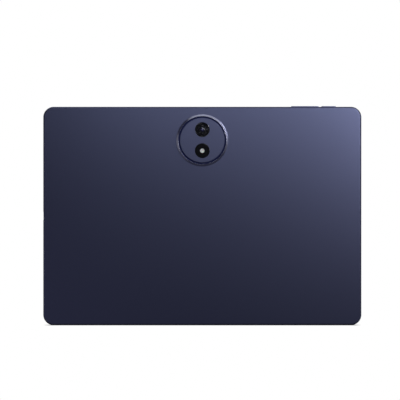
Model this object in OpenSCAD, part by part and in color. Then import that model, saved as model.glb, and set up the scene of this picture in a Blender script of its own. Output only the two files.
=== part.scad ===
// Tablet computer, built as an assembly of separate pieces.
//
// Every piece is drawn lying on its rear face: x runs along the long side
// (to the right, seen from the screen), y runs up the short side, and z rises
// from the rear face (0) to the screen glass (body_t). upright() then stands
// the assembly on its long lower edge, with the screen towards -Y.

/* [Body] */
// Length of the long side
body_w = 289.6; // [286:0.1:294]
// Length of the short side
body_h = 198.8; // [197:0.1:202]
// Thickness, without the camera island
body_t = 6.6; // [6.6:0.1:7.2]
// Corner radius seen from the rear
corner_r = 9.5; // [8.5:0.1:10.5]
// Rounding between the rear face and the sides
rear_edge_r = 1.4; // [0.8:0.05:1.5]
// Side wall thickness of the metal housing
wall = 1.6; // [1.5:0.05:1.7]
// Rear wall thickness of the metal housing
rear_wall = 0.8; // [0.6:0.05:0.8]

/* [Camera island] */
// Outer diameter of the round island
island_d = 47.2; // [46:0.1:48]
// Height of the island's ring above the rear face
island_h = 2.1; // [1.9:0.05:2.6]
// Distance from the body's top edge to the island's centre
island_drop = 30.5; // [29:0.1:31]
// Diameter of the flat disc inside the ring
disc_d = 40.3; // [38:0.1:40.4]
// Distance between the camera window and the flash window
window_pitch = 19.1; // [18:0.1:20]
// Diameter of each black window
window_d = 13.4; // [12.5:0.1:14]
// Autofocus travel of the lens barrel
focus_travel = 0.35; // [0.1:0.05:0.35]

/* [Keys] */
// Length of the volume rocker
rocker_len = 25; // [22:0.1:25.2]
// Length of the power button
power_len = 13; // [11:0.1:13.2]
// Distance from the body's middle to the middle of the rocker
rocker_x = 93.5; // [93:0.1:93.6]
// Distance from the body's middle to the middle of the power button
power_x = 115.1; // [115:0.1:116]
// How far both keys stand out of the top edge
key_proud = 0.7; // [0.4:0.05:1]
// Travel of the power button
power_travel = 0.3; // [0.1:0.05:0.3]

/* [Display] */
// Diagonal of the picture area, which is 3 to 2
screen_diag = 330.2; // [325:0.1:332]
// Width of the black border of the glass that lies outside the liquid-crystal panel
panel_inset = 5.2; // [5.2:0.05:5.6]

/* [Sockets and grilles] */
// Number of slots in each of the four loudspeaker grilles
grille_slots = 7; // [5:1:7]
// Distance between slots
grille_pitch = 4.6; // [4.4:0.1:4.8]
// Height of the loudspeaker grilles above or below the middle of the body
grille_y = 56; // [50:1:57]

/* [Hidden] */
$fn = 64;
eps = 0.01;            // overrun of a cut past the face it opens
slip = 0.02;           // gap between fixed pieces that are bonded or pressed together

// Places across the thickness
feature_z = 2.85;                      // middle of the keys, sockets, slots and holes
seat_z = 4.5;                          // ledge that carries the display
inner_top = seat_z - 0.12;             // highest point of everything under the display
glass_z = body_t - 0.6;                // inner face of the cover glass
rim_z = body_t - 0.2;                  // front end of the metal side wall
rim_wall = 0.75;                       // side wall beside the display
rim_edge_r = 0.4;                      // rounding of the rim's outer edge
glass_inset = 1.2;                     // cover glass, inside the body's outline
panel_corner_r = 1.5;
front_camera_r = 1.25;
sensor_half = [1.6, 0.8];              // half size of the light sensor
board_z = 1.9;                         // rear face of every circuit board
board_t = 0.6;                         // thickness of every circuit board
board_top = board_z + board_t;
ribbon_t = 0.15;                       // thickness of every ribbon cable
ribbon_z = [board_top + slip, board_top + ribbon_t];   // a ribbon that lies on a board
layer_gap = 0.1;                       // thickness of the adhesive under the glass
cell_z = 5.37;                         // rear face of the liquid-crystal panel
half_w = body_w / 2;
half_h = body_h / 2;
wall_x = half_w - wall;                // inner faces of the side walls
wall_y = half_h - wall;
front_y = half_h - 3.9;                // front camera and light sensor, in the glass border
sensor_x = 12;

// Camera island
island_y = half_h - island_drop;
camera_y = island_y + window_pitch / 2;
flash_y = island_y - window_pitch / 2;
disc_h = island_h - 0.25;              // height of the flat disc
window_t = 0.7;                        // glass thickness of the windows
window_h = disc_h + 0.1;               // height of the windows' outer face
barrel_r = 3.2;
barrel_rest = window_h - window_t - focus_travel - 0.15;   // rest height of its mouth
barrel_end = 2.9;                      // inner end of the barrel
front_lens_r = 2.15;
middle_lens_r = 1.65;
rear_lens_r = 2.25;
motor_half = 4.5;                      // half width of the focus motor
motor_z = [rear_wall + 0.1, 3.48];
flash_hole_r = 3.7;

// Keys: distances inwards from the wall's inner face
key_w = 2.0;                           // width of the keys across the thickness
key_play = 0.15;                       // gap around a key in its slot
rocker_gap = 0.4;                      // room for the rocker's flange to swing outwards
power_gap = 0.05;                      // the power button's flange rests here
flange_t = 0.6;
nub_depth = 1.7;                       // tips of the nubs that push the switches
plunger_gap = 0.05;
switch_depth = [2.05, 3.55];           // switch body, front and back
pocket_depth = 3.2;                    // bottom of the plunger's pocket
plunger_len = pocket_depth - power_travel - 0.05 - nub_depth - plunger_gap;
key_flex_depth = 3.58;
bracket_depth = [3.75, 4.05];
nub_pitch = 8;                         // from the rocker's pin to each nub
pin_depth = 1.9;                       // the rocker's pin
pin_r = 0.4;
lug_r = 0.9;
lug_half = 0.9;                        // half length of the lug along the pin
ear_t = 0.45;
plunger_half = [1, 0.7];

// Interior layout
battery_x = [4.5, 104];
battery_y = [-84, 40];
battery_z = [rear_wall + 0.15, 4.3];
terrace_z = 2.4;
main_x = [-104, 62];
main_y = [46, 88];
camera_notch = [8, 53];                // half width and lower end of the camera's notch
driver_y = [-92, -86.4];               // display driver board
usb_shell = [8.94, 3.1];               // outside width and height of the socket
usb_len = 7.3;
usb_recess = 0.9;                      // socket's mouth behind the outer face
usb_end = -usb_recess - usb_len;       // inner end, from the outer face
usb_metal = 0.3;
usb_board_x = [116, 141];
usb_board_half = 22;
speaker_x = [112, wall_x - 1];
speaker_len = 56;
motor_x = [-140, -120];                // vibration motor
motor_half_y = 6;
motor_top = 4;
motor_wall = 0.4;
weight_travel = 0.5;
weight_len = motor_x[1] - motor_x[0] - 2 * (motor_wall + weight_travel + 0.3);
ribbon_x = 108;                        // middle of the ribbon that runs beside the battery
antenna_x = [114, 134];                // antenna carrier at the right end
antenna_y = [90.2, 95.4];
antenna_top = 2.3;
contact_pitch = 4;
contact_face = [14, 3];                // outside size of the keyboard contacts' block
contact_r = 0.9;
mic_x = 36;                            // two microphones in the upper side
mic_y = 12;                            // and one in the left side
antenna_at = [124, 84];                // antenna gaps along the long and the short sides
grille_slot = [3.3, 1.3];
screw_r = 0.7;

main_screws = [[-100, 84], [-100, 50], [-12, 84], [12, 84], [58, 50], [58, 84]];
usb_screws = [[119, 18], [119, -18]];
bracket_screws = [[-76, 90.9], [-107.2, 90.9], [-127, 90.9]];
board_screws = concat(main_screws, usb_screws, bracket_screws);
speaker_tab = [5, 2.4];                // screw tab: from the speaker's inner side, and past its end

// ---------------------------------------------------------------- helpers

// Stands a piece drawn lying down on its long lower edge, centred on its depth.
module upright() {
    translate([0, (body_t - island_h) / 2, half_h]) rotate([90, 0, 0]) children();
}

// Box between two corners.
module block(x, y, z) {
    translate([x[0], y[0], z[0]]) cube([x[1] - x[0], y[1] - y[0], z[1] - z[0]]);
}

// Upright cylinder between two heights.
module disc(r, z) {
    translate([0, 0, z[0]]) cylinder(r = r, h = z[1] - z[0]);
}

// Rectangle with round corners, about the origin.
module rounded_rect(w, h, r) {
    square([w - 2 * r, h], center = true);
    square([w, h - 2 * r], center = true);
    for (sx = [-1, 1], sy = [-1, 1])
        translate([sx * (w / 2 - r), sy * (h / 2 - r)]) circle(r);
}

// Box with round upright corners, between two corners.
module rounded_block(x, y, z, r) {
    translate([(x[0] + x[1]) / 2, (y[0] + y[1]) / 2, z[0]])
        linear_extrude(height = z[1] - z[0])
            rounded_rect(x[1] - x[0], y[1] - y[0], r);
}

// The body's outline, moved in from the outer faces.
module body_prism(inset, z) {
    rounded_block([inset - half_w, half_w - inset], [inset - half_h, half_h - inset],
                  z, corner_r - inset);
}

// Ring that follows the body's outline.
module body_ring(inset, inner_r, z) {
    difference() {
        body_prism(inset[0], z);
        rounded_block([inset[1] - half_w, half_w - inset[1]], [inset[1] - half_h, half_h - inset[1]],
                      [z[0] - eps, z[1] + eps], inner_r);
    }
}

// Slab with round corners whose side has the given profile. The profile runs from
// the corner's axis (x = 0) to the side (x = r), with y as the height.
module profiled_slab(w, h, r, height) {
    x = w / 2 - r;
    y = h / 2 - r;
    block([-x, x], [-y, y], height);
    for (c = [[x, y, 0], [-x, y, 90], [-x, -y, 180], [x, -y, 270]])
        translate([c[0], c[1], 0]) rotate([0, 0, c[2]]) rotate_extrude(angle = 90) children();
    for (s = [[x, y, 0, y], [-x, y, 90, x], [-x, -y, 180, y], [x, -y, 270, x]])
        translate([s[0], s[1], 0]) rotate([0, 0, s[2]])
            rotate([90, 0, 0]) linear_extrude(height = 2 * s[3]) children();
}

// What a rounding removes from a square corner at the origin, with the material
// towards +x, +y.
module corner_cut(r) {
    difference() {
        translate([-eps, -eps]) square(r + eps);
        translate([r, r]) circle(r);
    }
}

// Side profile with a rounding at the bottom and one at the top.
module side_profile(r, z, bottom_r, top_r) {
    difference() {
        translate([0, z[0]]) square([r, z[1] - z[0]]);
        translate([r, z[0]]) mirror([1, 0]) corner_cut(bottom_r);
        translate([r, z[1]]) mirror([1, 0]) mirror([0, 1]) corner_cut(top_r);
    }
}

// Long hole or key with round ends, lying along x and running along y.
module pill(len, width, y) {
    translate([0, y[1], 0]) rotate([90, 0, 0]) linear_extrude(height = y[1] - y[0]) {
        square([len - width, width], center = true);
        for (s = [-1, 1]) translate([s * (len - width) / 2, 0]) circle(width / 2);
    }
}

// Turns a shape drawn for the top edge so that it serves the side at +x or -x.
module at_side(s, y) {
    translate([s * half_w, y, feature_z]) rotate([0, 0, -s * 90]) children();
}

// Round cable through points whose stretches lie along x, y or z, with round bends.
module cable(points, r, bend) {
    last = len(points) - 1;
    for (i = [0:last - 1]) {
        a = points[i];
        b = points[i + 1];
        d = (b - a) / norm(b - a);
        start = i == 0 ? a : a + d * bend;
        end = i == last - 1 ? b : b - d * bend;
        translate(start) multmatrix(along(d)) cylinder(r = r, h = norm(end - start));
    }
    for (i = [1:last - 1]) {
        u = (points[i - 1] - points[i]) / norm(points[i - 1] - points[i]);
        v = (points[i + 1] - points[i]) / norm(points[i + 1] - points[i]);
        centre = points[i] + (u + v) * bend;
        multmatrix(frame_of(-v, -u, centre)) rotate_extrude(angle = 90)
            translate([bend, 0]) circle(r);
    }
}

// Matrix that sends x to u and y to v, at a place.
function frame_of(u, v, p) =
    let (w = cross(u, v))
    [[u[0], v[0], w[0], p[0]], [u[1], v[1], w[1], p[1]], [u[2], v[2], w[2], p[2]], [0, 0, 0, 1]];

// Matrix that sends z to the direction d, which lies along an axis.
function along(d) =
    let (u = abs(d[2]) > 0.5 ? [1, 0, 0] : [0, 0, 1], v = cross(d, u))
    frame_of(u, v, [0, 0, 0]);

// ---------------------------------------------------------------- housing and glass

module outer_shell() {
    profiled_slab(body_w, body_h, corner_r, [0, rim_z])
        side_profile(corner_r, [0, rim_z], rear_edge_r, rim_edge_r);
}

// Gaps for the plastic windows that part the metal sides into antennas. They stop
// short of the rear face, so that it stays in one piece.
module antenna_cuts(play) {
    width = 1.2 + 2 * play;
    z = [1.5, rim_z + 1];
    through = wall + 0.5;
    for (s = [-1, 1]) {
        translate([s * half_w, s * antenna_at[1], 0])
            block([-through, through], [-width / 2, width / 2], z);
        translate([s * antenna_at[0], s * half_h, 0])
            block([-width / 2, width / 2], [-through, through], z);
    }
}

// Slots of the loudspeaker grilles, as deep as y says.
module grille_cuts(y) {
    for (s = [-1, 1], t = [-1, 1], i = [0:grille_slots - 1])
        at_side(s, t * grille_y + (i - (grille_slots - 1) / 2) * grille_pitch)
            pill(grille_slot[0], grille_slot[1], y);
}

module screw_holes(places) {
    for (p = places) translate([p[0], p[1], 0]) disc(screw_r + 0.1, [board_z - 1, board_top + 1]);
}

// Hollow post that a screw goes into.
module boss(p) {
    translate([p[0], p[1], 0]) difference() {
        disc(1.7, [rear_wall - eps, board_z - slip]);
        disc(screw_r + 0.05, [rear_wall + 0.1, board_z + eps]);
    }
}

// Hole for a microphone in the upper side.
module microphone_hole() {
    translate([0, -wall - eps, 0]) rotate([-90, 0, 0]) cylinder(r = 0.5, h = wall + 2 * eps);
}

function speaker_screws() = [
    for (s = [-1, 1], t = [-1, 1], u = [-1, 1])
        if (!(s > 0 && u * t < 0))
            [s * (speaker_x[0] + speaker_tab[0]), t * grille_y + u * (speaker_len / 2 + speaker_tab[1])]
];

module rear_housing() color("#2b2f48") {
    difference() {
        outer_shell();
        body_prism(wall, [rear_wall, seat_z + eps]);
        body_prism(rim_wall, [seat_z, rim_z + 1]);
        antenna_cuts(slip);
        grille_cuts([-wall - eps, eps]);
        // slots of the volume rocker and the power button
        for (key = [[rocker_x, rocker_len], [power_x, power_len]])
            translate([-key[0], half_h, feature_z])
                pill(key[1] + 2 * key_play, key_w + 2 * key_play, [-wall - eps, eps]);
        // mouth of the socket, and the pocket of the keyboard contacts
        at_side(1, 0) pill(usb_shell[0] + 0.1, usb_shell[1] + 0.1, [-wall - eps, eps]);
        translate([0, -half_h, feature_z])
            pill(contact_face[0] + 2 * slip, contact_face[1] + 2 * slip, [-eps, wall + eps]);
        for (x = [-mic_x, mic_x]) translate([x, half_h, feature_z]) microphone_hole();
        at_side(-1, mic_y) microphone_hole();
        // camera and flash
        translate([0, camera_y, 0]) disc(barrel_r + 0.7, [-eps, rear_wall + eps]);
        translate([0, flash_y, 0]) disc(flash_hole_r, [-eps, rear_wall + eps]);
    }
    for (p = concat(board_screws, speaker_screws())) boss(p);
    battery_ribs();
}

// Low ribs beside and below the battery cells.
module battery_ribs() {
    t = 0.7;
    z = [rear_wall - eps, 1.8];
    for (s = [-1, 1]) {
        side_x = s * (battery_x[1] + 1);
        middle_x = s * (battery_x[0] + battery_x[1]) / 2;
        block([side_x - t / 2, side_x + t / 2], [battery_y[0] + 2, battery_y[1] - 2], z);
        block([middle_x - 48, middle_x + 48], [battery_y[0] - 0.5 - t, battery_y[0] - 0.5], z);
    }
}

module antenna_windows() color("#343853") {
    intersection() {
        difference() {
            outer_shell();
            body_prism(wall, [rear_wall, seat_z]);
            body_prism(rim_wall, [seat_z - eps, rim_z + 1]);
        }
        antenna_cuts(0);
    }
}

// Fine mesh behind each grille, held by a frame of foam.
module speaker_meshes() color("#15161a") {
    mesh_y = [-wall - 0.3, -wall - 0.05];
    foam_y = [-wall - 0.8, mesh_y[0] - slip];
    for (s = [-1, 1], t = [-1, 1])
        at_side(s, t * grille_y) {
            block([-17, 17], mesh_y, [-1.3, 1.3]);
            difference() {
                block([-17.5, 17.5], foam_y, [-1.5, 1.5]);
                block([-16, 16], [foam_y[0] - eps, foam_y[1] + eps], [-0.9, 0.9]);
            }
        }
}

// Openings for the front camera and the light sensor.
module front_openings(play) {
    translate([0, front_y, 0]) disc(front_camera_r + play, [seat_z - 1, body_t]);
    translate([sensor_x, front_y, 0])
        block([-sensor_half[0] - play, sensor_half[0] + play],
              [-sensor_half[1] - play, sensor_half[1] + play], [seat_z - 1, body_t]);
}

// Plastic ring under the glass, with a thin lip between the glass and the metal.
module mid_frame() color("#101114") {
    outer = rim_wall + 0.05;
    difference() {
        union() {
            body_ring([outer, panel_inset - 0.2], panel_corner_r - 0.2,
                      [seat_z + slip, glass_z - layer_gap]);
            body_ring([outer, glass_inset - 0.05], corner_r - glass_inset + 0.05,
                      [glass_z - 0.2, rim_z + 0.05]);
        }
        front_openings(0.1);
    }
}

module glass_adhesive() color("#0b0b0c") {
    difference() {
        body_ring([1.4, 4.6], corner_r - 4.6, [glass_z - layer_gap + slip, glass_z - slip]);
        front_openings(0.2);
    }
}

module cover_glass() color("#0a0a0c") {
    profiled_slab(body_w - 2 * glass_inset, body_h - 2 * glass_inset, corner_r - glass_inset,
                  [glass_z, body_t])
        side_profile(corner_r - glass_inset, [glass_z, body_t], 0.05, 0.3);
}

module lcd_panel() color("#16181d") {
    x = half_w - panel_inset;
    y = half_h - panel_inset;
    array_z = cell_z + 0.28;           // transistor glass
    ledge = 3;                         // where the driver chips sit, along the lower side
    picture = [screen_diag * 3 / sqrt(13), screen_diag * 2 / sqrt(13)];
    rounded_block([-x, x], [-y, y], [cell_z, array_z], panel_corner_r);
    rounded_block([-x, x], [-y + ledge, y], [array_z - eps, glass_z - layer_gap], panel_corner_r);
    // polariser over the picture area
    block([-picture[0] / 2, picture[0] / 2], [-picture[1] / 2, picture[1] / 2],
          [glass_z - layer_gap - eps, glass_z - slip]);
}

// Steel tray with the light guide and its films in it.
module backlight_unit() color("#c9ccd2") {
    x = half_w - panel_inset;
    y = half_h - panel_inset;
    floor_z = seat_z + 0.3;
    side = 0.8;
    play = 0.1;
    difference() {
        rounded_block([-x, x], [-y, y], [seat_z, cell_z - slip], panel_corner_r);
        rounded_block([side - x, x - side], [side - y, y - side], [floor_z, cell_z + 1], 1);
    }
    block([side + play - x, x - side - play], [side + play - y, y - side - play],
          [floor_z - eps, cell_z - 0.07]);
}

// Board along the lower side, with its driver chips and capacitors.
module display_driver_board() color("#1d4d33") {
    block([-80, 80], driver_y, [board_z, board_top]);
    for (x = [-60:20:60]) if (x != 0) chip([x - 3, x + 3], [driver_y[0] + 1.4, driver_y[1] - 1.4], 0.8);
    for (x = [-75:5:75]) if (abs(x) > 6)
        chip([x - 0.5, x + 0.5], [driver_y[0] + 0.4, driver_y[0] + 0.9], 0.4);
}

// Ribbon between the battery cells, with a wider pad at each end.
module display_flex() color("#8a5a22") {
    block([-3.5, 3.5], [driver_y[0] + 1, main_y[0] + 5], ribbon_z);
    block([-9, 9], [driver_y[0] + 0.5, driver_y[1] - 0.8], ribbon_z);
    block([-5.5, 5.5], [main_y[0] + 1, main_y[0] + 6], ribbon_z);
}

// ---------------------------------------------------------------- camera island

// Ring: outer bevel, narrow land, then an inner bevel down to a groove round the disc.
module camera_ring() color("#32364f") {
    r = island_d / 2;
    bore_r = disc_d / 2 + 0.1;
    foot_h = 0.35;                     // upright part of the outer side
    land = [r - 1.95, r - 1.45];
    groove_h = disc_h - 0.6;
    translate([0, island_y, 0]) mirror([0, 0, 1]) rotate_extrude()
        polygon([
            [bore_r, slip], [r, slip],
            [r, foot_h], [r - 0.12, foot_h + 0.27],
            [land[1] + 0.2, island_h - 0.1], [land[1], island_h], [land[0], island_h],
            [bore_r + 0.35, groove_h], [bore_r, groove_h - 0.1]
        ]);
}

// Disc with a seat for each window and a hole behind it.
module camera_plate() color("#2b2f48") {
    r = disc_d / 2;
    bevel = 0.2;
    translate([0, island_y, 0]) mirror([0, 0, 1]) difference() {
        rotate_extrude()
            polygon([[0, slip], [r, slip], [r, disc_h - bevel], [r - bevel, disc_h], [0, disc_h]]);
        for (s = [-1, 1]) translate([0, s * window_pitch / 2, 0]) {
            disc(window_d / 2 + slip, [window_h - window_t - slip, disc_h + 1]);
            disc(s > 0 ? 5 : flash_hole_r, [-1, disc_h]);
        }
    }
}

// Window glass with a small bevel round its outer face.
module window_glass() {
    r = window_d / 2;
    mirror([0, 0, 1]) rotate_extrude()
        polygon([
            [0, window_h - window_t], [r, window_h - window_t], [r, window_h - 0.12],
            [r - 0.15, window_h], [0, window_h]
        ]);
}

module camera_window() color("#08080a") {
    translate([0, camera_y, 0]) window_glass();
}

// The flash window has a ring on its inner face that holds the light-spreading lens.
module flash_window() color("#0b0b0d") {
    translate([0, flash_y, 0]) {
        window_glass();
        mirror([0, 0, 1]) difference() {
            disc(2.6, [window_h - window_t - 0.2, window_h - window_t + eps]);
            disc(2.2, [window_h - window_t - 0.3, window_h - window_t]);
        }
    }
}

// Motor housing: the barrel's bore, and a recess for the sensor on the inner side.
module focus_motor_case() color("#9a9da3") {
    translate([0, camera_y, 0]) difference() {
        rounded_block([-motor_half, motor_half], [-motor_half, motor_half], motor_z, 0.6);
        disc(barrel_r + 0.08, [0, barrel_end + 0.2]);
        block([-3.7, 3.7], [-3.2, 3.2], [barrel_end - 0.02, motor_z[1] + eps]);
    }
}

module lens_barrel() color("#121214") {
    front = -barrel_rest;
    bevel = 0.4;
    translate([0, camera_y, 0]) difference() {
        disc(barrel_r, [front, barrel_end]);
        disc(front_lens_r + slip, [front - eps, front + 0.55]);
        disc(middle_lens_r + slip, [front, barrel_end + eps]);
        disc(rear_lens_r + slip, [barrel_end - 0.9, barrel_end + eps]);
        translate([0, 0, front - eps])
            cylinder(r1 = front_lens_r + bevel, r2 = front_lens_r + slip, h = 0.25);
    }
}

// Front element with a domed outer face, a middle element and the rear element.
module lens_elements() color("#3c4a78") {
    front = -barrel_rest;
    dome_r = 6;
    translate([0, camera_y, 0]) {
        intersection() {
            disc(front_lens_r, [front, front + 0.53]);
            translate([0, 0, front + 0.08 + dome_r]) sphere(dome_r);
        }
        disc(middle_lens_r, [0.3, 0.9]);
        disc(rear_lens_r, [barrel_end - 0.85, barrel_end - 0.3]);
    }
}

module camera_board() color("#20603c") {
    z = [motor_z[1] + slip, motor_z[1] + slip + 0.4];
    translate([0, camera_y, 0]) {
        block([-4.7, 4.7], [-5.5, 5.5], z);
        for (x = [-3.6:1.2:3.6]) block([x - 0.3, x + 0.3], [4.7, 5.2], [z[1] - eps, z[1] + 0.3]);
    }
}

module image_sensor() color("#3b2f4e") {
    translate([0, camera_y, 0]) block([-3.2, 3.2], [-2.5, 2.5], [motor_z[1] - 0.36, motor_z[1]]);
}

// Ribbon from the camera's board to its socket on the main board.
module camera_flex() color("#8a5a22") {
    z = [motor_z[1] + 2 * slip, motor_z[1] + 2 * slip + ribbon_t];
    block([4.75, 20], [camera_y - 3, camera_y + 1], z);
    block([14, 22], [camera_y - 4, camera_y + 2], z);
}

// Ceramic disc with a ribbon that steps down to the main board.
module flash_board() color("#d8d5c8") {
    step_z = 1.6;
    translate([0, flash_y, 0]) {
        disc(flash_hole_r - 0.2, [-0.1, 0.3]);
        block([-1, 1], [-3, -0.5], [0.3 - eps, step_z + ribbon_t]);
        block([-2, 2], [-10, -0.5], [step_z, step_z + ribbon_t]);
    }
}

// Package with its two light-emitting faces.
module flash_led() color("#e8dc9a") {
    face_z = -0.7;
    translate([0, flash_y, 0]) {
        block([-1.5, 1.5], [-1.1, 1.1], [face_z, -0.1 - slip]);
        for (s = [-1, 1])
            block([s * 0.7 - 0.5, s * 0.7 + 0.5], [-0.5, 0.5], [face_z - 0.15, face_z + eps]);
    }
}

module front_camera() color("#17181b") {
    case_y = [front_y - 2.5, front_y + 2.2];
    case_top = 4.35;
    mouth = [0.4, 0.9];                // radii of the conical mouth
    difference() {
        union() {
            rounded_block([-3, 3], case_y, [1, case_top], 0.4);
            translate([0, front_y, 0]) disc(front_camera_r, [case_top - eps, glass_z - 0.12]);
        }
        translate([0, front_y, glass_z - 0.5]) cylinder(r1 = mouth[0], r2 = mouth[1], h = 0.6);
    }
    // ribbon to the main board
    block([-2, 2], [main_y[1] + 0.5, case_y[0] + eps], ribbon_z);
}

module light_sensor() color("#4b3d5c") {
    base_z = 4.85;
    translate([sensor_x, front_y, 0]) {
        block([-sensor_half[0], sensor_half[0]], [-sensor_half[1], sensor_half[1]],
              [base_z, glass_z - 0.15]);
        // ribbon that goes down to the main board
        block([-0.4, 0.4], [-sensor_half[1], -sensor_half[1] + ribbon_t], [board_top + 0.3, base_z + eps]);
    }
}

// ---------------------------------------------------------------- keys

// Puts a piece of the keys where the given distance inwards from the wall's inner
// face is y = 0, so that depth d lies at y = -d.
module at_key(x) {
    translate([-x, wall_y, feature_z]) children();
}

// Cap that fills the slot, with a soft outer edge.
module key_cap(len, inner_y) {
    outer_y = wall + key_proud;
    soft = 0.25;
    pill(len, key_w, [inner_y, outer_y - soft]);
    pill(len - 0.2, key_w - 0.2, [outer_y - soft - eps, outer_y - soft / 2]);
    pill(len - 0.55, key_w - 0.55, [outer_y - soft / 2 - eps, outer_y]);
}

// Plate behind the wall that keeps the key from falling out.
module key_flange(len, gap) {
    block([-len / 2 - 0.7, len / 2 + 0.7], [-gap - flange_t, -gap], [-1.35, 1.35]);
}

module nub(x) {
    block([x - 0.8, x + 0.8], [-nub_depth, -flange_t], [-0.6, 0.6]);
}

module volume_rocker() color("#2e324b") {
    at_key(rocker_x) {
        key_cap(rocker_len, -rocker_gap - flange_t + eps);
        key_flange(rocker_len, rocker_gap);
        nub(nub_pitch);
        nub(-nub_pitch);
        // lug round the pin
        difference() {
            union() {
                translate([0, -pin_depth, 0]) disc(lug_r, [-lug_half, lug_half]);
                block([-lug_r, lug_r], [-pin_depth, -flange_t], [-lug_half, lug_half]);
            }
            translate([0, -pin_depth, 0]) disc(pin_r + 0.03, [-2, 2]);
        }
    }
}

module power_button() color("#2e324b") {
    at_key(power_x) {
        key_cap(power_len, -power_gap - flange_t + eps);
        key_flange(power_len, power_gap);
        nub(0);
    }
}

module rocker_pin() color("#b8bac0") {
    at_key(rocker_x) translate([0, -pin_depth, 0]) disc(pin_r, [-1.5, 1.5]);
}

// Steel strip behind the switches, with two ears for the rocker's pin and three feet.
module key_bracket() color("#a4a7ad") {
    ends = [-power_x - 8, -rocker_x + 15];
    ear_z = [lug_half + 0.12, lug_half + 0.12 + ear_t];
    difference() {
        union() {
            block(ends, [wall_y - bracket_depth[1], wall_y - bracket_depth[0]], [1.35, 4.3]);
            at_key(rocker_x) for (z = [ear_z, [-ear_z[1], -ear_z[0]]])
                block([-1.1, 1.1], [-bracket_depth[0] - eps, 0.8 - pin_depth], z);
            for (p = bracket_screws)
                block([p[0] - 1.9, p[0] + 1.9], [p[1] - 1.6, wall_y - bracket_depth[0]],
                      [board_z, board_top]);
        }
        at_key(rocker_x) translate([0, -pin_depth, 0]) disc(pin_r + 0.01, [-3, 3]);
        screw_holes(bracket_screws);
    }
}

module key_flex() color("#8a5a22") {
    y = wall_y - key_flex_depth;
    block([-power_x - 4, 12 - rocker_x], [y - 0.12, y], [feature_z - 0.95, feature_z + 0.95]);
}

// Push switches on the ribbon: two for the volume rocker, one for the power button.
module key_switches() color("#26282d") {
    play = 0.05;
    for (x = [-rocker_x - nub_pitch, -rocker_x + nub_pitch, -power_x]) at_key(-x) difference() {
        block([-2.3, 2.3], [-switch_depth[1], -switch_depth[0]], [-1.2, 1.2]);
        block([-plunger_half[0] - play, plunger_half[0] + play],
              [-pocket_depth, eps - switch_depth[0]],
              [-plunger_half[1] - play, plunger_half[1] + play]);
    }
}

module plunger(x) {
    tip = -nub_depth - plunger_gap;
    at_key(x) block([-plunger_half[0], plunger_half[0]], [tip - plunger_len, tip],
                    [-plunger_half[1], plunger_half[1]]);
}

// The outer end of the rocker raises the volume.
module volume_up_plunger() color("#c8cacf") {
    plunger(rocker_x + nub_pitch);
}

module volume_down_plunger() color("#c8cacf") {
    plunger(rocker_x - nub_pitch);
}

module power_plunger() color("#c8cacf") {
    plunger(power_x);
}

// ---------------------------------------------------------------- electronics

// Block that stands for a chip or a small part, soldered to a board.
module chip(x, y, h) {
    block(x, y, [board_top - eps, board_top + h]);
}

module main_board() color("#1f5a3a") {
    x = main_x;
    y = main_y;
    difference() {
        block(x, y, [board_z, board_top]);
        block([-camera_notch[0], camera_notch[0]], [camera_notch[1], y[1] + 1],
              [board_z - 1, board_top + 1]);
        screw_holes(main_screws);
    }
    chip([-46, -31], [62, 77], 0.9);                                     // processor
    chip([-45, -32], [79, 86], 0.8);                                     // memory
    chip([-60, -49], [60, 73], 0.9);                                     // storage
    chip([20, 28], [60, 68], 0.8);                                       // radio
    chip([34, 42], [62, 70], 0.7);
    for (i = [0:2]) chip([-28, -22], [56 + 9 * i, 62 + 9 * i], 0.7);     // power supply
    for (i = [0:4]) chip([-92 + 5 * i, -89 + 5 * i], [70, 74], 1);       // coils
    for (i = [0:11], j = [0:2])                                          // capacitors
        chip([-94 + 2.2 * i, -93 + 2.2 * i], [58 + 3 * j, 58.6 + 3 * j], 0.4);
}

// Thin metal can, open towards the board.
module shield_can(x, y) {
    top = 4.1;
    t = 0.15;
    difference() {
        rounded_block(x, y, [board_top + slip, top], 0.8);
        rounded_block([x[0] + t, x[1] - t], [y[0] + t, y[1] - t], [board_top - 1, top - t], 0.6);
    }
}

module processor_shield() color("#b9bbc0") {
    shield_can([-63, -17], [54.5, 87]);
}

module radio_shield() color("#b9bbc0") {
    shield_can([16, 50], [57, 72]);
}

// Copper plate that lies on the processor's shield.
module heat_spreader() color("#b0714a") {
    rounded_block([-97, -12], [56, 82], [4.13, inner_top], 3);
}

// Sockets that the ribbon cables plug into.
module board_connectors() color("#2d2f34") {
    z = [ribbon_z[1] + slip, board_top + 0.9];
    block([-5, 5], [main_y[0] + 1.4, main_y[0] + 5.6], z);               // display
    block([-7.4, 7.4], [driver_y[0] + 1, driver_y[1] - 1.2], z);
    block([-41, -33], [main_y[0] + 1.4, main_y[0] + 4.6], z);            // battery
    block([51, 55], [53.5, 58.5], z);                                    // socket board
    block([117, 121], [3.5, 8.5], z);
    block([14.5, 21.5], [camera_y - 3.6, camera_y + 1.6], [board_top + slip, motor_z[1] + slip]);
}

// Pouch cell with a thin folded terrace at its upper end.
module battery_cell(s) {
    x = s > 0 ? battery_x : [-battery_x[1], -battery_x[0]];
    terrace_y = battery_y[1] - 4;
    rounded_block(x, [battery_y[0], terrace_y], battery_z, 3);
    block([x[0] + 4, x[1] - 4], [terrace_y - eps, battery_y[1]], [battery_z[0], terrace_z]);
}

module battery_left() color("#3a3c42") {
    battery_cell(-1);
}

module battery_right() color("#3a3c42") {
    battery_cell(1);
}

// Protection board between the cells and the main board, with nickel tabs to the cells.
module battery_board() color("#1d4d33") {
    y = [battery_y[1] + 0.5, battery_y[1] + 5];
    block([-62, 62], y, [board_z, board_top]);
    for (x = [-55, -25, 18, 25, 55]) chip([x - 2, x + 2], [y[0] + 0.9, y[1] - 0.8], 0.8);
    for (x = [-50, -14, 14, 50])
        block([x - 3, x + 3], [battery_y[1] - 3.5, y[0] + 1.5], [terrace_z + slip, terrace_z + 0.12]);
}

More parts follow.
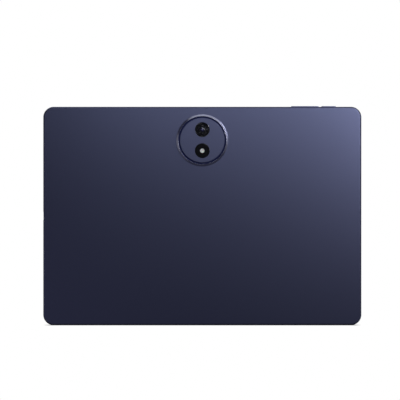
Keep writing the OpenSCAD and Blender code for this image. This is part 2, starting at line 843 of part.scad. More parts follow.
module battery_flex() color("#8a5a22") {
    block([-40, -34], [battery_y[1] + 1, main_y[0] + 5], ribbon_z);
    block([-42, -32], [main_y[0] + 1, main_y[0] + 5.4], ribbon_z);
}

// Drawn metal shell of the socket, closed at its inner end.
module usb_connector() color("#b4b6bb") {
    at_side(1, 0) difference() {
        pill(usb_shell[0], usb_shell[1], [usb_end, -usb_recess]);
        pill(usb_shell[0] - 2 * usb_metal, usb_shell[1] - 2 * usb_metal, [usb_end + 1, 1]);
    }
}

// Moulded tongue that carries the contacts, on a plug that fills the shell's inner end.
module usb_tongue() color("#0e0f12") {
    play = 0.05;
    at_side(1, 0) {
        block([-3.35, 3.35], [usb_end + 1 + slip, -usb_recess - 1.2], [-0.35, 0.35]);
        pill(usb_shell[0] - 2 * usb_metal - 2 * play, usb_shell[1] - 2 * usb_metal - 2 * play,
             [usb_end + 1 + slip, usb_end + 2.2]);
    }
}

module usb_board() color("#1f5a3a") {
    notch_half = usb_shell[0] / 2 + 0.13;
    difference() {
        block(usb_board_x, [-usb_board_half, usb_board_half], [board_z, board_top]);
        block([half_w + usb_end - 0.15, half_w], [-notch_half, notch_half], [board_z - 1, board_top + 1]);
        screw_holes(usb_screws);
    }
    for (i = [0:4]) chip([126 + 2.4 * i, 127.4 + 2.4 * i], [9, 11.4], 0.8);
    chip([124, 131], [-13, -7], 0.9);
}

// Ribbon from the socket board, up beside the battery and across to the main board.
module usb_flex() color("#8a5a22") {
    half = 2.5;
    across_y = [53.5, 58.5];
    block([ribbon_x - half, 122], [3, 9], ribbon_z);
    block([ribbon_x - half, ribbon_x + half], [3, across_y[1]], ribbon_z);
    block([50.5, ribbon_x + half], across_y, ribbon_z);
}

// Loudspeaker box with a cone's surround on its screen side, a mouth and screw tabs.
module speaker(s, t) {
    x = s > 0 ? speaker_x : [-speaker_x[1], -speaker_x[0]];
    y = [t * grille_y - speaker_len / 2, t * grille_y + speaker_len / 2];
    top = 4.05;
    surround_r = [6.2, 8.5];
    tabs = [for (p = speaker_screws()) if (p[0] * s > 0 && p[1] * t > 0) p];
    difference() {
        union() {
            rounded_block(x, y, [rear_wall + 0.1, top], 3);
            for (p = tabs) translate([p[0], p[1], 0]) {
                inwards = p[1] > t * grille_y ? [-3, 0] : [0, 3];
                disc(2, [board_z, board_top]);
                block([-2, 2], inwards, [board_z, board_top]);
            }
        }
        screw_holes(tabs);
        at_side(s, t * grille_y) block([-15, 15], [-wall - 7, -wall - 0.5], [-0.9, 0.9]);
        translate([s * (speaker_x[0] + 11), t * grille_y, 0]) difference() {
            disc(surround_r[1], [top - 0.35, top + eps]);
            disc(surround_r[0], [top - 1, top + 1]);
        }
    }
}

module speaker_upper_left() color("#1b1c20") {
    speaker(-1, 1);
}

module speaker_lower_left() color("#1b1c20") {
    speaker(-1, -1);
}

module speaker_upper_right() color("#1b1c20") {
    speaker(1, 1);
}

module speaker_lower_right() color("#1b1c20") {
    speaker(1, -1);
}

// Linear vibration motor: open tray, cover, and a weight that slides along x.
module vibration_motor_case() color("#a9acb2") {
    difference() {
        rounded_block(motor_x, [-motor_half_y, motor_half_y], [rear_wall + 0.1, motor_top], 0.8);
        block([motor_x[0] + motor_wall, motor_x[1] - motor_wall],
              [-motor_half_y + motor_wall, motor_half_y - motor_wall], [1.2, motor_top + 1]);
    }
}

module vibration_motor_cover() color("#a9acb2") {
    rounded_block(motor_x, [-motor_half_y, motor_half_y], [motor_top + slip, motor_top + 0.3], 0.8);
}

module vibration_weight() color("#5e6066") {
    middle = (motor_x[0] + motor_x[1]) / 2;
    half_y = motor_half_y - motor_wall - 0.2;
    z = [1.35, motor_top - 0.15];
    difference() {
        rounded_block([middle - weight_len / 2, middle + weight_len / 2], [-half_y, half_y], z, 0.5);
        // pocket for the coil
        block([middle - 3.5, middle + 3.5], [-2.6, 2.6], [z[0] - eps, 1.9]);
    }
}

// Microphone board behind each hole, in front of its rubber boot.
module microphone() {
    difference() {
        block([-1.6, 1.6], [-wall - 0.75, -wall - 0.05], [-1.3, 1.3]);
        translate([0, -wall - 1, 0]) rotate([-90, 0, 0]) cylinder(r = 0.5, h = 1.1);
    }
    block([-1.75, 1.75], [-wall - 1.9, -wall - 0.77], [-1.3, 1.3]);
}

module microphones() color("#c2b280") {
    for (x = [-mic_x, mic_x]) translate([x, half_h, feature_z]) microphone();
    at_side(-1, mic_y) microphone();
}

// Two antennas at opposite corners: plastic carrier with a metal loop.
module wifi_antennas() color("#c98f4a") {
    carrier_z = [1.2, 2.2];
    edge = 0.5;
    for (s = [-1, 1]) {
        x = s > 0 ? antenna_x : [-antenna_x[1], -antenna_x[0]];
        y = s > 0 ? antenna_y : [-antenna_y[1], -antenna_y[0]];
        block(x, y, carrier_z);
        difference() {
            block([x[0] + edge, x[1] - edge], [y[0] + edge, y[1] - edge],
                  [carrier_z[1] - eps, antenna_top]);
            block([x[0] + 3, x[1] - 3], [y[0] + 1.6, y[1] - 1.6],
                  [carrier_z[1] - 1, antenna_top + 1]);
        }
    }
}

// Coaxial cables from the main board to the antennas.
module antenna_cables() color("#1a1a1c") {
    foot = board_top + 0.1;
    end = antenna_top + 0.05;
    z = 3.3;
    y = 92;
    x = 109;
    r = 0.35;
    bend = 0.6;
    cable([[56, 76, foot], [56, 76, z], [56, y, z], [120, y, z], [120, y, end]], r, bend);
    cable([[-96, 66, foot], [-96, 66, z], [-x, 66, z], [-x, -y, z], [-118, -y, z], [-118, -y, end]],
          r, bend);
}

module contact_block() color("#141518") {
    flange_y = [wall + slip, wall + 1.4];
    translate([0, -half_h, feature_z]) difference() {
        union() {
            pill(contact_face[0], contact_face[1], [0.25, flange_y[0] + eps]);
            block([-8, 8], flange_y, [-1.7, 1.4]);
        }
        for (i = [-1:1]) contact_pin(i, contact_r + slip, [-1, flange_y[1] + 1]);
    }
}

// Cylinder at the place of contact i, from the outer face inwards.
module contact_pin(i, r, y) {
    translate([i * contact_pitch, y[0], 0]) rotate([-90, 0, 0]) cylinder(r = r, h = y[1] - y[0]);
}

module keyboard_contacts() color("#c9a24a") {
    translate([0, -half_h, feature_z]) for (i = [-1:1]) contact_pin(i, contact_r, [0.2, 2.6]);
}

// Magnets: eight that hold a keyboard at the lower edge, four that hold a pen at the top.
module magnets() color("#8f9298") {
    len = 10;
    pitch = 12;
    z = [1.1, 3.9];
    depth = [0.4, 3.6];                // from the side wall's inner face
    for (s = [-1, 1], i = [0:3]) {
        x = s * (44 + pitch * i);
        block([x - len / 2, x + len / 2], [depth[0] - wall_y, depth[1] - wall_y], z);
    }
    for (i = [0:3]) {
        x = 71 + pitch * i;
        block([x - len / 2, x + len / 2], [wall_y - depth[1], wall_y - depth[0]], z);
    }
}

// One pan-head screw with a cross recess, seated on a board at the given place.
module screw(p) {
    head_z = [board_top + slip, board_top + 0.5];
    arm = [0.7, 0.15];                 // half length and half width of the cross's arms
    translate([p[0], p[1], 0]) difference() {
        union() {
            disc(screw_r, [rear_wall + 0.3, head_z[0]]);
            disc(1.3, head_z);
        }
        for (a = [0, 90]) rotate([0, 0, a])
            block([-arm[0], arm[0]], [-arm[1], arm[1]], [head_z[1] - 0.25, head_z[1] + 1]);
    }
}

module screws() color("#d0d2d6") {
    for (p = concat(board_screws, speaker_screws())) screw(p);
}

// ---------------------------------------------------------------- nodes

upright() rear_housing();
upright() antenna_windows();
upright() speaker_meshes();
upright() mid_frame();
upright() glass_adhesive();
upright() cover_glass();
upright() lcd_panel();
upright() backlight_unit();
upright() display_driver_board();
upright() display_flex();
upright() camera_ring();
upright() camera_plate();
upright() camera_window();
upright() flash_window();
upright() focus_motor_case();
upright() lens_barrel();
upright() lens_elements();
upright() camera_board();
upright() image_sensor();
upright() camera_flex();
upright() flash_board();
upright() flash_led();
upright() front_camera();
upright() light_sensor();
upright() volume_rocker();
upright() power_button();
upright() key_bracket();
upright() rocker_pin();
upright() key_flex();
upright() key_switches();
upright() volume_up_plunger();
upright() volume_down_plunger();
upright() power_plunger();
upright() main_board();
upright() processor_shield();
upright() radio_shield();
upright() heat_spreader();
upright() board_connectors();
upright() battery_left();
upright() battery_right();
upright() battery_board();
upright() battery_flex();
upright() usb_connector();
upright() usb_tongue();
upright() usb_board();
upright() usb_flex();
upright() speaker_upper_left();
upright() speaker_lower_left();
upright() speaker_upper_right();
upright() speaker_lower_right();
upright() vibration_motor_case();
upright() vibration_motor_cover();
upright() vibration_weight();
upright() microphones();
upright() wifi_antennas();
upright() antenna_cables();
upright() keyboard_contacts();
upright() contact_block();
upright() magnets();
upright() screws();
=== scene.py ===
"""Looks of the tablet computer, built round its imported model.

Pieces are drawn in millimetres and lying on their rear face: x runs along the long side,
y up the short side, and z from the rear face towards the screen. UPRIGHT then turns them
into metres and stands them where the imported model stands.
"""

import math

import bmesh
import bpy
from mathutils import Matrix, Vector


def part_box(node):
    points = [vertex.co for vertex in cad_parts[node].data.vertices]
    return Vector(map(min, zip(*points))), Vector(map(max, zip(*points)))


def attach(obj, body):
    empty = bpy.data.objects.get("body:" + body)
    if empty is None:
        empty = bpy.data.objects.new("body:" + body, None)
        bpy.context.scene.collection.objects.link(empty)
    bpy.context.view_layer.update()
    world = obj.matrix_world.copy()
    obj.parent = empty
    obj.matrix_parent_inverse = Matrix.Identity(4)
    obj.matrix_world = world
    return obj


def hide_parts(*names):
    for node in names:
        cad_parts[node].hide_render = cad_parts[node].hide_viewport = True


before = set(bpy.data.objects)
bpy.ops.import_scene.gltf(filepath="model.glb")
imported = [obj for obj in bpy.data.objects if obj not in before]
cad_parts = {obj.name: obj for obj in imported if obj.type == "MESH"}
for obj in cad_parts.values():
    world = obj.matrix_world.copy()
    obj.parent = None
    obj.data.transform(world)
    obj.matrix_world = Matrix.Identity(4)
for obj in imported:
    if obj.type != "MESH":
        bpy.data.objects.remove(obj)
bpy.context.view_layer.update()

# ------------------------------------------------------------------ sizes

MM = 0.001
REAR_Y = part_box("rear_housing")[1].y
HALF_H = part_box("rear_housing")[1].z / MM / 2
UPRIGHT = (
    Matrix.Translation((0, REAR_Y, HALF_H * MM)) @ Matrix.Rotation(math.pi / 2, 4, "X") @ Matrix.Scale(MM, 4)
)


def lying(node):
    """Lowest and highest corner of a CAD node, in millimetres, as the piece lies."""
    a, b = (UPRIGHT.inverted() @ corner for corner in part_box(node))
    return Vector(map(min, a, b)), Vector(map(max, a, b))


def middle(node):
    """Middle of a CAD node's box, in the same way."""
    low, high = lying(node)
    return (low + high) / 2


HALF_W = lying("rear_housing")[1].x
RIM_Z = lying("rear_housing")[1].z
GLASS_Z = lying("cover_glass")[0].z
FRONT_Z = lying("cover_glass")[1].z
GLASS_INSET = HALF_W - lying("cover_glass")[1].x
PANEL_INSET = HALF_W - lying("lcd_panel")[1].x
SEAT_Z = lying("backlight_unit")[0].z

CORNER_R = 9.5           # corners of the body's outline
REAR_BEVEL = (1.3, 1.5)  # between the rear face and the sides: across the face, up the side
RIM_EDGE_R = 0.4         # front edge of the sides
WALL = 1.6               # side walls
REAR_WALL = 0.8
RIM_WALL = 0.75          # side wall beside the display
FEATURE_Z = middle("volume_rocker").z
BOARD_Z = lying("main_board")[0].z
SLIP = 0.02              # gap between bonded pieces
SLOT = (3.3, 1.3)        # each slot of a loudspeaker grille
SLOT_COUNT = 7
SLOT_PITCH = 4.6
MICROPHONE_R = 0.5
ANTENNA_GAP = (1.2, 1.5)  # width, and height of its foot above the rear face
SCREEN_DIAGONAL = 330.2  # of the part that lights up
SCREEN_RATIO = (3, 2)
FRONT_CAMERA_DROP = 3.9  # from the upper side's outer face to the front camera's middle
FRONT_CAMERA_R = 1.25
SENSOR_HALF = (1.6, 0.8)  # half size of the light sensor's opening

RING_R = lying("camera_ring")[1].x
RING_H = -lying("camera_ring")[0].z
DISC_R = lying("camera_plate")[1].x
DISC_H = -lying("camera_plate")[0].z
ISLAND_Y = middle("camera_plate").y
WINDOW_R = lying("camera_window")[1].x
WINDOW_H = -lying("camera_window")[0].z
WINDOW_T = 0.7           # thickness of the two windows
CAMERA_Y = middle("camera_window").y
FLASH_Y = middle("flash_window").y
CAMERA_HOLE_R = 3.9      # in the housing. The disc's hole behind the camera window is wider
FLASH_HOLE_R = 3.7       # in the housing and in the disc
FLASH_LENS_R = 1.95
KEY_PLAY = 0.15          # gap round each key
KEY_W = 2.0              # across the side
FLANGE_OVER = 0.7        # how far a key's flange reaches past the ends of its cap
USB_SHELL = (8.94, 3.1)  # outside of the charging socket's shell
USB_METAL = 0.3
CONTACT_FACE = (14.0, 3.0)  # face of the block that holds the keyboard contacts
CONTACT_R = 0.9


# ------------------------------------------------------------------ drawing

def soften(corners, closed=False, steps=5):
    """Points of a line through (x, y, radius) corners, each rounded by its radius."""
    points = []
    for i, (x, y, radius) in enumerate(corners):
        here = Vector((x, y))
        if radius == 0 or (not closed and i in (0, len(corners) - 1)):
            points.append(here)
            continue
        back = (Vector(corners[i - 1][:2]) - here).normalized()
        ahead = (Vector(corners[(i + 1) % len(corners)][:2]) - here).normalized()
        half_turn = back.angle(ahead) / 2
        centre = here + (back + ahead).normalized() * radius / math.sin(half_turn)
        reach = radius / math.tan(half_turn)
        start = here + back * reach - centre
        end = here + ahead * reach - centre
        points += [centre + start.slerp(end, k / steps).normalized() * radius for k in range(steps + 1)]
    return points


def skin(bm, loops, closed=False):
    """Skins the loops of points in turn. The ends are capped, or joined if closed."""
    rings = [[bm.verts.new(point) for point in loop] for loop in loops]
    pairs = list(zip(rings, rings[1:]))
    if closed:
        pairs.append((rings[-1], rings[0]))
    else:
        bm.faces.new(rings[0])
        bm.faces.new(rings[-1])
    for a, b in pairs:
        for i, j in zip(range(len(a)), [*range(1, len(a)), 0]):
            bm.faces.new((a[i], a[j], b[j], b[i]))


def outline(half, inset, r, z, place=Matrix(), steps=12):
    """Loop of points round a rectangle with round corners, moved in from its half size."""
    x, y = half[0] - inset - r, half[1] - inset - r
    points = []
    for quarter, (sx, sy) in enumerate(((1, 1), (-1, 1), (-1, -1), (1, -1))):
        for k in range(steps + 1):
            angle = (quarter + k / steps) * math.pi / 2
            points.append(place @ Vector((sx * x + r * math.cos(angle), sy * y + r * math.sin(angle), z)))
    return points


def slab(bm, half, corner_r, profile, place=Matrix(), closed=False, steps=12):
    """Slab with round corners. Its side follows (inset, z) points, from end to end."""
    loops = [outline(half, inset, max(corner_r - inset, 0.02), z, place, steps) for inset, z in profile]
    skin(bm, loops, closed)


def soft_box(bm, x, y, z, soft=0.08, place=Matrix()):
    """Box between two corners, with soft edges."""
    shift = place @ Matrix.Translation(((x[0] + x[1]) / 2, (y[0] + y[1]) / 2, 0))
    profile = soften([(2 * soft, z[0], 0), (0, z[0], soft), (0, z[1], soft), (2 * soft, z[1], 0)], steps=2)
    slab(bm, ((x[1] - x[0]) / 2, (y[1] - y[0]) / 2), 2 * soft, profile, shift, steps=3)


def lathe(bm, profile, place=Matrix(), steps=96, closed=False):
    """Turns (radius, height) points about z. An open profile begins and ends on the axis."""
    rings = []
    for radius, height in profile:
        if radius == 0:
            rings.append([bm.verts.new(place @ Vector((0, 0, height)))])
            continue
        turn = [2 * math.pi * k / steps for k in range(steps)]
        rings.append([bm.verts.new(place @ Vector((radius * math.cos(a), radius * math.sin(a), height)))
                      for a in turn])
    pairs = list(zip(rings, rings[1:]))
    if closed:
        pairs.append((rings[-1], rings[0]))
    for a, b in pairs:
        for i in range(steps):
            j = (i + 1) % steps
            corners = [a[i % len(a)], a[j % len(a)], b[j % len(b)], b[i % len(b)]]
            bm.faces.new(list(dict.fromkeys(corners)))


def edge(spot, z=None):
    """Place on the side of the body nearest to a spot: y points out of its outer face."""
    height = FEATURE_Z if z is None else z
    if HALF_W - abs(spot[0]) < HALF_H - abs(spot[1]):
        side = math.copysign(1, spot[0])
        face = Vector((side * HALF_W, spot[1], height))
        turn = -side * math.pi / 2
    else:
        side = math.copysign(1, spot[1])
        face = Vector((spot[0], side * HALF_H, height))
        turn = (1 - side) * math.pi / 2
    return Matrix.Translation(face) @ Matrix.Rotation(turn, 4, "Z")


OUTWARDS = Matrix.Rotation(-math.pi / 2, 4, "X")     # turns z to y, and y to -z


def pill(bm, length, width, profile, place, steps=10):
    """Bar with round ends along x, whose section follows (inset, y) points along y."""
    slab(bm, (length / 2, width / 2), width / 2, profile, place @ OUTWARDS, steps=steps)


def flared(depth, flare=0.12):
    """Profile of a slot's cutter, whose mouth at the outer face has a small bevel."""
    return [(0, -depth), (0, -flare), (-flare, 0), (-flare, 1)]


def to_object(name, bm):
    """An object in the lying frame, in millimetres."""
    bmesh.ops.remove_doubles(bm, verts=bm.verts, dist=1e-4)
    bmesh.ops.recalc_face_normals(bm, faces=bm.faces)
    mesh = bpy.data.meshes.new(name)
    bm.to_mesh(mesh)
    bm.free()
    made = bpy.data.objects.new(name, mesh)
    bpy.context.scene.collection.objects.link(made)
    return made


def bake(made):
    """Applies the object's modifiers to its mesh."""
    graph = bpy.context.evaluated_depsgraph_get()
    result = bpy.data.meshes.new_from_object(made.evaluated_get(graph))
    made.modifiers.clear()
    made.data = result


def cut(target, cutter_mesh):
    """Takes the cutter's solids out of the target."""
    cutter = to_object("cutter", cutter_mesh)
    modifier = target.modifiers.new("cut", "BOOLEAN")
    modifier.operation = "DIFFERENCE"
    modifier.solver = "EXACT"
    modifier.use_self = True
    modifier.object = cutter
    bake(target)
    bpy.data.objects.remove(cutter)


def finish(made, nodes, finishes, choose=None, sharp=32, body="tablet_body"):
    """Stands a drawn piece upright with its materials, in place of the CAD nodes."""
    mesh = made.data
    mesh.materials.clear()
    for name in finishes:
        mesh.materials.append(finish_named(name))
    if choose:
        for face in mesh.polygons:
            face.material_index = choose(face.center)
    mesh.transform(UPRIGHT)
    mesh.polygons.foreach_set("use_smooth", [True] * len(mesh.polygons))
    mesh.set_sharp_from_angle(angle=math.radians(sharp))
    weighted = made.modifiers.new("weighted normals", "WEIGHTED_NORMAL")
    weighted.keep_sharp = True
    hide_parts(*nodes)
    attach(made, body)
    return made


# ------------------------------------------------------------------ materials

class Surface:
    """A material with one Principled shader, whose sockets are set by name."""

    def __init__(self, name, **sockets):
        self.material = bpy.data.materials.new(name)
        self.material.use_nodes = True
        self.tree = self.material.node_tree
        self.shader = self.tree.nodes["Principled BSDF"]
        for socket, value in sockets.items():
            self.shader.inputs[socket.replace("_", " ")].default_value = value

    def node(self, kind, **settings):
        made = self.tree.nodes.new("ShaderNode" + kind)
        for name, value in settings.items():
            setattr(made, name, value)
        return made

    def link(self, source, target):
        self.tree.links.new(source, target)

    def place(self, stretch=(1, 1, 1)):
        """Object coordinates in millimetres, stretched."""
        coordinates = self.node("TexCoord")
        mapping = self.node("Mapping")
        mapping.inputs["Scale"].default_value = [1 / MM / s for s in stretch]
        self.link(coordinates.outputs["Object"], mapping.inputs["Vector"])
        return mapping.outputs["Vector"]

    def noise(self, size, detail=2.0, stretch=(1, 1, 1)):
        """Noise whose features are about size millimetres across."""
        made = self.node("TexNoise")
        made.inputs["Scale"].default_value = 1 / size
        made.inputs["Detail"].default_value = detail
        self.link(self.place(stretch), made.inputs["Vector"])
        return made.outputs["Fac"]

    def spread(self, source, low, high):
        """Maps the middle of a noise to the range from low to high."""
        made = self.node("MapRange")
        made.inputs["From Min"].default_value = 0.3
        made.inputs["From Max"].default_value = 0.7
        made.inputs["To Min"].default_value = low
        made.inputs["To Max"].default_value = high
        self.link(source, made.inputs["Value"])
        return made.outputs["Result"]

    def colours(self, source, *stops):
        """Colour ramp through (position, colour) stops."""
        ramp = self.node("ValToRGB")
        elements = ramp.color_ramp.elements
        while len(elements) < len(stops):
            elements.new(0.5)
        for element, (position, colour) in zip(elements, stops):
            element.position = position
            element.color = (*colour, 1)
        self.link(source, ramp.inputs["Fac"])
        return ramp.outputs["Color"]

    def colour(self, source):
        self.link(source, self.shader.inputs["Base Color"])

    def roughness(self, source, low, high):
        self.link(self.spread(source, low, high), self.shader.inputs["Roughness"])

    def bump(self, source, depth):
        """Relief as deep as depth, in millimetres."""
        made = self.node("Bump")
        made.inputs["Distance"].default_value = depth * MM
        made.inputs["Strength"].default_value = 1.0
        self.link(source, made.inputs["Height"])
        self.link(made.outputs["Normal"], self.shader.inputs["Normal"])

    def mottled(self, dark, light, source):
        """Base colour that wanders from dark to light with the noise."""
        self.colour(self.colours(source, (0.3, dark), (0.7, light)))


def shade(colour, factor):
    """The colour made darker or lighter."""
    return tuple(channel * factor for channel in colour)


NAVY = (0.105, 0.113, 0.200)


def anodised_metal():
    """Blasted and anodised aluminium: an even satin navy with a very fine grain."""
    made = Surface("anodised_metal", Metallic=1.0)
    grain = made.noise(0.22, 3)
    made.mottled(shade(NAVY, 0.975), shade(NAVY, 1.025), grain)
    made.roughness(grain, 0.345, 0.375)
    made.bump(grain, 0.0012)
    return made


def island_metal():
    """Cut and polished after the first dyeing, so it is paler than the body."""
    made = Surface("island_metal", Metallic=1.0)
    grain = made.noise(0.25, 3)
    made.mottled((0.60, 0.61, 0.76), (0.64, 0.65, 0.80), grain)
    made.roughness(grain, 0.19, 0.22)
    return made


def island_groove_shade():
    """Painted shade: dark navy on the groove between the ring and the disc, where shade falls, with a faint
    grain.
    """
    made = Surface("island_groove_shade", Metallic=1.0)
    grain = made.noise(0.2, 2)
    made.mottled((0.016, 0.019, 0.062), (0.020, 0.023, 0.072), grain)
    made.roughness(grain, 0.36, 0.42)
    return made


def navy_plastic():
    made = Surface("navy_plastic", Specular_IOR_Level=0.45)
    grain = made.noise(0.18, 3)
    made.mottled((0.030, 0.033, 0.062), (0.036, 0.039, 0.070), grain)
    made.roughness(grain, 0.42, 0.52)
    made.bump(grain, 0.0015)
    return made


def black_plastic():
    made = Surface("black_plastic", Specular_IOR_Level=0.5)
    grain = made.noise(0.15, 3)
    made.mottled((0.010, 0.010, 0.011), (0.016, 0.016, 0.017), grain)
    made.roughness(grain, 0.38, 0.52)
    made.bump(grain, 0.002)
    return made


def screen_glass():
    """Clear cover glass with a faint smear of use in its gloss."""
    made = Surface("screen_glass", Transmission_Weight=1.0, IOR=1.51, Base_Color=(0.96, 0.97, 0.97, 1))
    made.roughness(made.noise(14, 4, (1, 1, 2.2)), 0.0, 0.035)
    return made


def border_print():
    """Black ink behind the glass."""
    made = Surface("border_print", Specular_IOR_Level=0.2)
    grain = made.noise(0.3, 2)
    made.mottled((0.0022, 0.0022, 0.0025), (0.0030, 0.0030, 0.0034), grain)
    made.roughness(grain, 0.5, 0.6)
    return made


def window_glass():
    """Clear glass of the camera's window."""
    made = Surface("window_glass", Transmission_Weight=1.0, IOR=1.52, Base_Color=(0.9, 0.91, 0.93, 1))
    made.roughness(made.noise(3, 3), 0.0, 0.02)
    return made


def black_window():
    """Glass with black ink right behind it."""
    made = Surface("black_window", Specular_IOR_Level=0.3, Coat_Weight=1.0, Coat_Roughness=0.02, Coat_IOR=1.5)
    grain = made.noise(0.5, 2)
    made.mottled((0.0016, 0.0017, 0.0020), (0.0020, 0.0021, 0.0024), grain)
    made.roughness(grain, 0.12, 0.16)
    return made


def flash_lens():
    """Milky moulded lens over the flash."""
    made = Surface("flash_lens", Specular_IOR_Level=0.6, Subsurface_Weight=0.3, Subsurface_Scale=0.001)
    grain = made.noise(0.5, 2)
    made.mottled((0.44, 0.45, 0.43), (0.52, 0.53, 0.50), grain)
    made.roughness(grain, 0.18, 0.3)
    return made


def lens_glass():
    """Coated lens: its mirror image turns from violet to green towards the edge."""
    made = Surface("lens_glass", Specular_IOR_Level=0.6, Coat_Weight=0.5, Coat_Roughness=0.03, Metallic=0.2)
    facing = made.node("LayerWeight")
    facing.inputs["Blend"].default_value = 0.35
    made.colour(made.colours(facing.outputs["Facing"],
                             (0.0, (0.035, 0.030, 0.090)), (0.45, (0.050, 0.090, 0.130)),
                             (1.0, (0.090, 0.150, 0.110))))
    made.roughness(made.noise(0.4, 2), 0.05, 0.12)
    return made


def panel_glass():
    """Dark display under its polariser, with the faint columns of its pixels."""
    made = Surface("panel_glass", Specular_IOR_Level=0.5)
    columns = made.node("TexWave", wave_type="BANDS", bands_direction="X")
    columns.inputs["Scale"].default_value = 4.0
    made.link(made.place(), columns.inputs["Vector"])
    made.mottled((0.010, 0.010, 0.012), (0.016, 0.016, 0.019), columns.outputs["Fac"])
    made.roughness(made.noise(0.3, 2), 0.24, 0.32)
    return made


def black_metal():
    made = Surface("black_metal", Metallic=0.7)
    grain = made.noise(0.12, 2)
    made.mottled((0.014, 0.014, 0.016), (0.028, 0.028, 0.031), grain)
    made.roughness(grain, 0.4, 0.55)
    return made


def foam(name, colour, size):
    """Foam or rubber, matt with open pores."""
    made = Surface(name, Specular_IOR_Level=0.2)
    pores = made.noise(size, 4)
    made.mottled(shade(colour, 0.7), shade(colour, 1.2), pores)
    made.roughness(pores, 0.75, 0.95)
    made.bump(pores, 0.02)
    return made


def adhesive():
    return foam("adhesive", (0.012, 0.012, 0.013), 0.1)


def rubber():
    return foam("rubber", (0.016, 0.016, 0.017), 0.3)


def circuit_board():
    """Green lacquer over copper tracks, and dark chips above it."""
    made = Surface("circuit_board", Specular_IOR_Level=0.5, Coat_Weight=0.3, Coat_Roughness=0.2)
    cells = made.node("TexBrick", offset=0.5)
    for socket, value in (("Scale", 1.0), ("Mortar Size", 0.09), ("Brick Width", 1.7), ("Row Height", 0.55)):
        cells.inputs[socket].default_value = value
    turned = made.node("Mapping")
    turned.inputs["Rotation"].default_value = (math.pi / 2, 0, 0)
    turned.inputs["Scale"].default_value = (1 / MM, 1 / MM, 1 / MM)
    coordinates = made.node("TexCoord")
    made.link(coordinates.outputs["Object"], turned.inputs["Vector"])
    made.link(turned.outputs["Vector"], cells.inputs["Vector"])
    tracks = made.colours(cells.outputs["Fac"], (0.2, (0.006, 0.055, 0.022)), (0.8, (0.030, 0.120, 0.050)))
    split = made.node("SeparateXYZ")
    made.link(coordinates.outputs["Object"], split.inputs["Vector"])
    above = made.node("Math", operation="LESS_THAN")
    above.inputs[1].default_value = REAR_Y - (lying("board_connectors")[0].z + SLIP) * MM
    made.link(split.outputs["Y"], above.inputs[0])
    mix = made.node("Mix", data_type="RGBA")
    made.link(above.outputs[0], mix.inputs["Factor"])
    made.link(tracks, mix.inputs["A"])
    mix.inputs["B"].default_value = (0.012, 0.012, 0.014, 1)
    made.colour(mix.outputs["Result"])
    made.roughness(made.noise(0.5, 3), 0.25, 0.4)
    made.bump(cells.outputs["Fac"], 0.02)
    return made


def ceramic():
    made = Surface("ceramic", Specular_IOR_Level=0.5)
    grain = made.noise(0.3, 3)
    made.mottled((0.62, 0.60, 0.52), (0.72, 0.70, 0.62), grain)
    made.roughness(grain, 0.35, 0.5)
    return made


def phosphor():
    made = Surface("phosphor", Specular_IOR_Level=0.4, Subsurface_Weight=0.2, Subsurface_Scale=0.0005)
    grain = made.noise(0.12, 3)
    made.mottled((0.75, 0.62, 0.14), (0.85, 0.74, 0.26), grain)
    made.roughness(grain, 0.5, 0.7)
    return made


def brushed(name, colour, low, high, stretch):
    """Metal with fine straight lines along one direction."""
    made = Surface(name, Metallic=1.0, Anisotropic=0.4)
    lines = made.noise(0.12, 3, stretch)
    made.mottled(shade(colour, 0.88), shade(colour, 1.08), lines)
    made.roughness(lines, low, high)
    made.bump(lines, 0.004)
    return made


def sheet_steel():
    return brushed("sheet_steel", (0.56, 0.57, 0.59), 0.25, 0.38, (14, 1, 1))


def copper():
    return brushed("copper", (0.72, 0.36, 0.22), 0.3, 0.42, (14, 1, 1))


def gold_contact():
    made = Surface("gold_contact", Metallic=1.0)
    grain = made.noise(0.15, 3)
    made.mottled((0.78, 0.55, 0.22), (0.90, 0.66, 0.30), grain)
    made.roughness(grain, 0.2, 0.32)
    return made


def magnet_metal():
    made = Surface("magnet_metal", Metallic=1.0)
    grain = made.noise(0.6, 4)
    made.mottled((0.50, 0.51, 0.53), (0.62, 0.63, 0.65), grain)
    made.roughness(grain, 0.16, 0.3)
    return made


def battery_pouch():
    """Laminated foil: dull aluminium with soft creases."""
    made = Surface("battery_pouch", Metallic=0.85)
    creases = made.noise(9, 5, (1, 1, 1.6))
    made.mottled((0.30, 0.31, 0.33), (0.40, 0.41, 0.43), creases)
    made.roughness(made.noise(1.2, 4), 0.34, 0.5)
    made.bump(creases, 0.25)
    return made


def ribbon():
    """Polyimide film over copper tracks that run along the ribbon."""
    made = Surface("ribbon", Specular_IOR_Level=0.5, Coat_Weight=0.5, Coat_Roughness=0.15)
    tracks = made.node("TexWave", wave_type="BANDS", bands_direction="X")
    tracks.inputs["Scale"].default_value = 0.8
    made.link(made.place(), tracks.inputs["Vector"])
    made.mottled((0.20, 0.075, 0.012), (0.36, 0.15, 0.03), tracks.outputs["Fac"])
    made.roughness(made.noise(0.6, 3), 0.3, 0.42)
    made.bump(tracks.outputs["Fac"], 0.01)
    return made


def reflector():
    made = Surface("reflector", Specular_IOR_Level=0.4)
    grain = made.noise(0.8, 3)
    made.mottled((0.74, 0.75, 0.77), (0.80, 0.81, 0.83), grain)
    made.roughness(grain, 0.45, 0.6)
    return made


def connector_plastic():
    made = Surface("connector_plastic", Specular_IOR_Level=0.5)
    grain = made.noise(0.2, 3)
    made.mottled((0.020, 0.021, 0.024), (0.030, 0.031, 0.035), grain)
    made.roughness(grain, 0.4, 0.55)
    made.bump(grain, 0.003)
    return made


MAKERS = (
    anodised_metal, island_metal, island_groove_shade, navy_plastic, black_plastic, screen_glass, border_print,
    window_glass, black_window, flash_lens, lens_glass, panel_glass, black_metal, adhesive, rubber,
    circuit_board, ceramic, phosphor, sheet_steel, copper, gold_contact, magnet_metal, battery_pouch,
    ribbon, reflector, connector_plastic,
)
MAKER_OF = {maker.__name__: maker for maker in MAKERS}
FINISHES = {}


def finish_named(name):
    """The material of this name, made once."""
    if name not in FINISHES:
        FINISHES[name] = MAKER_OF[name]().material
    return FINISHES[name]


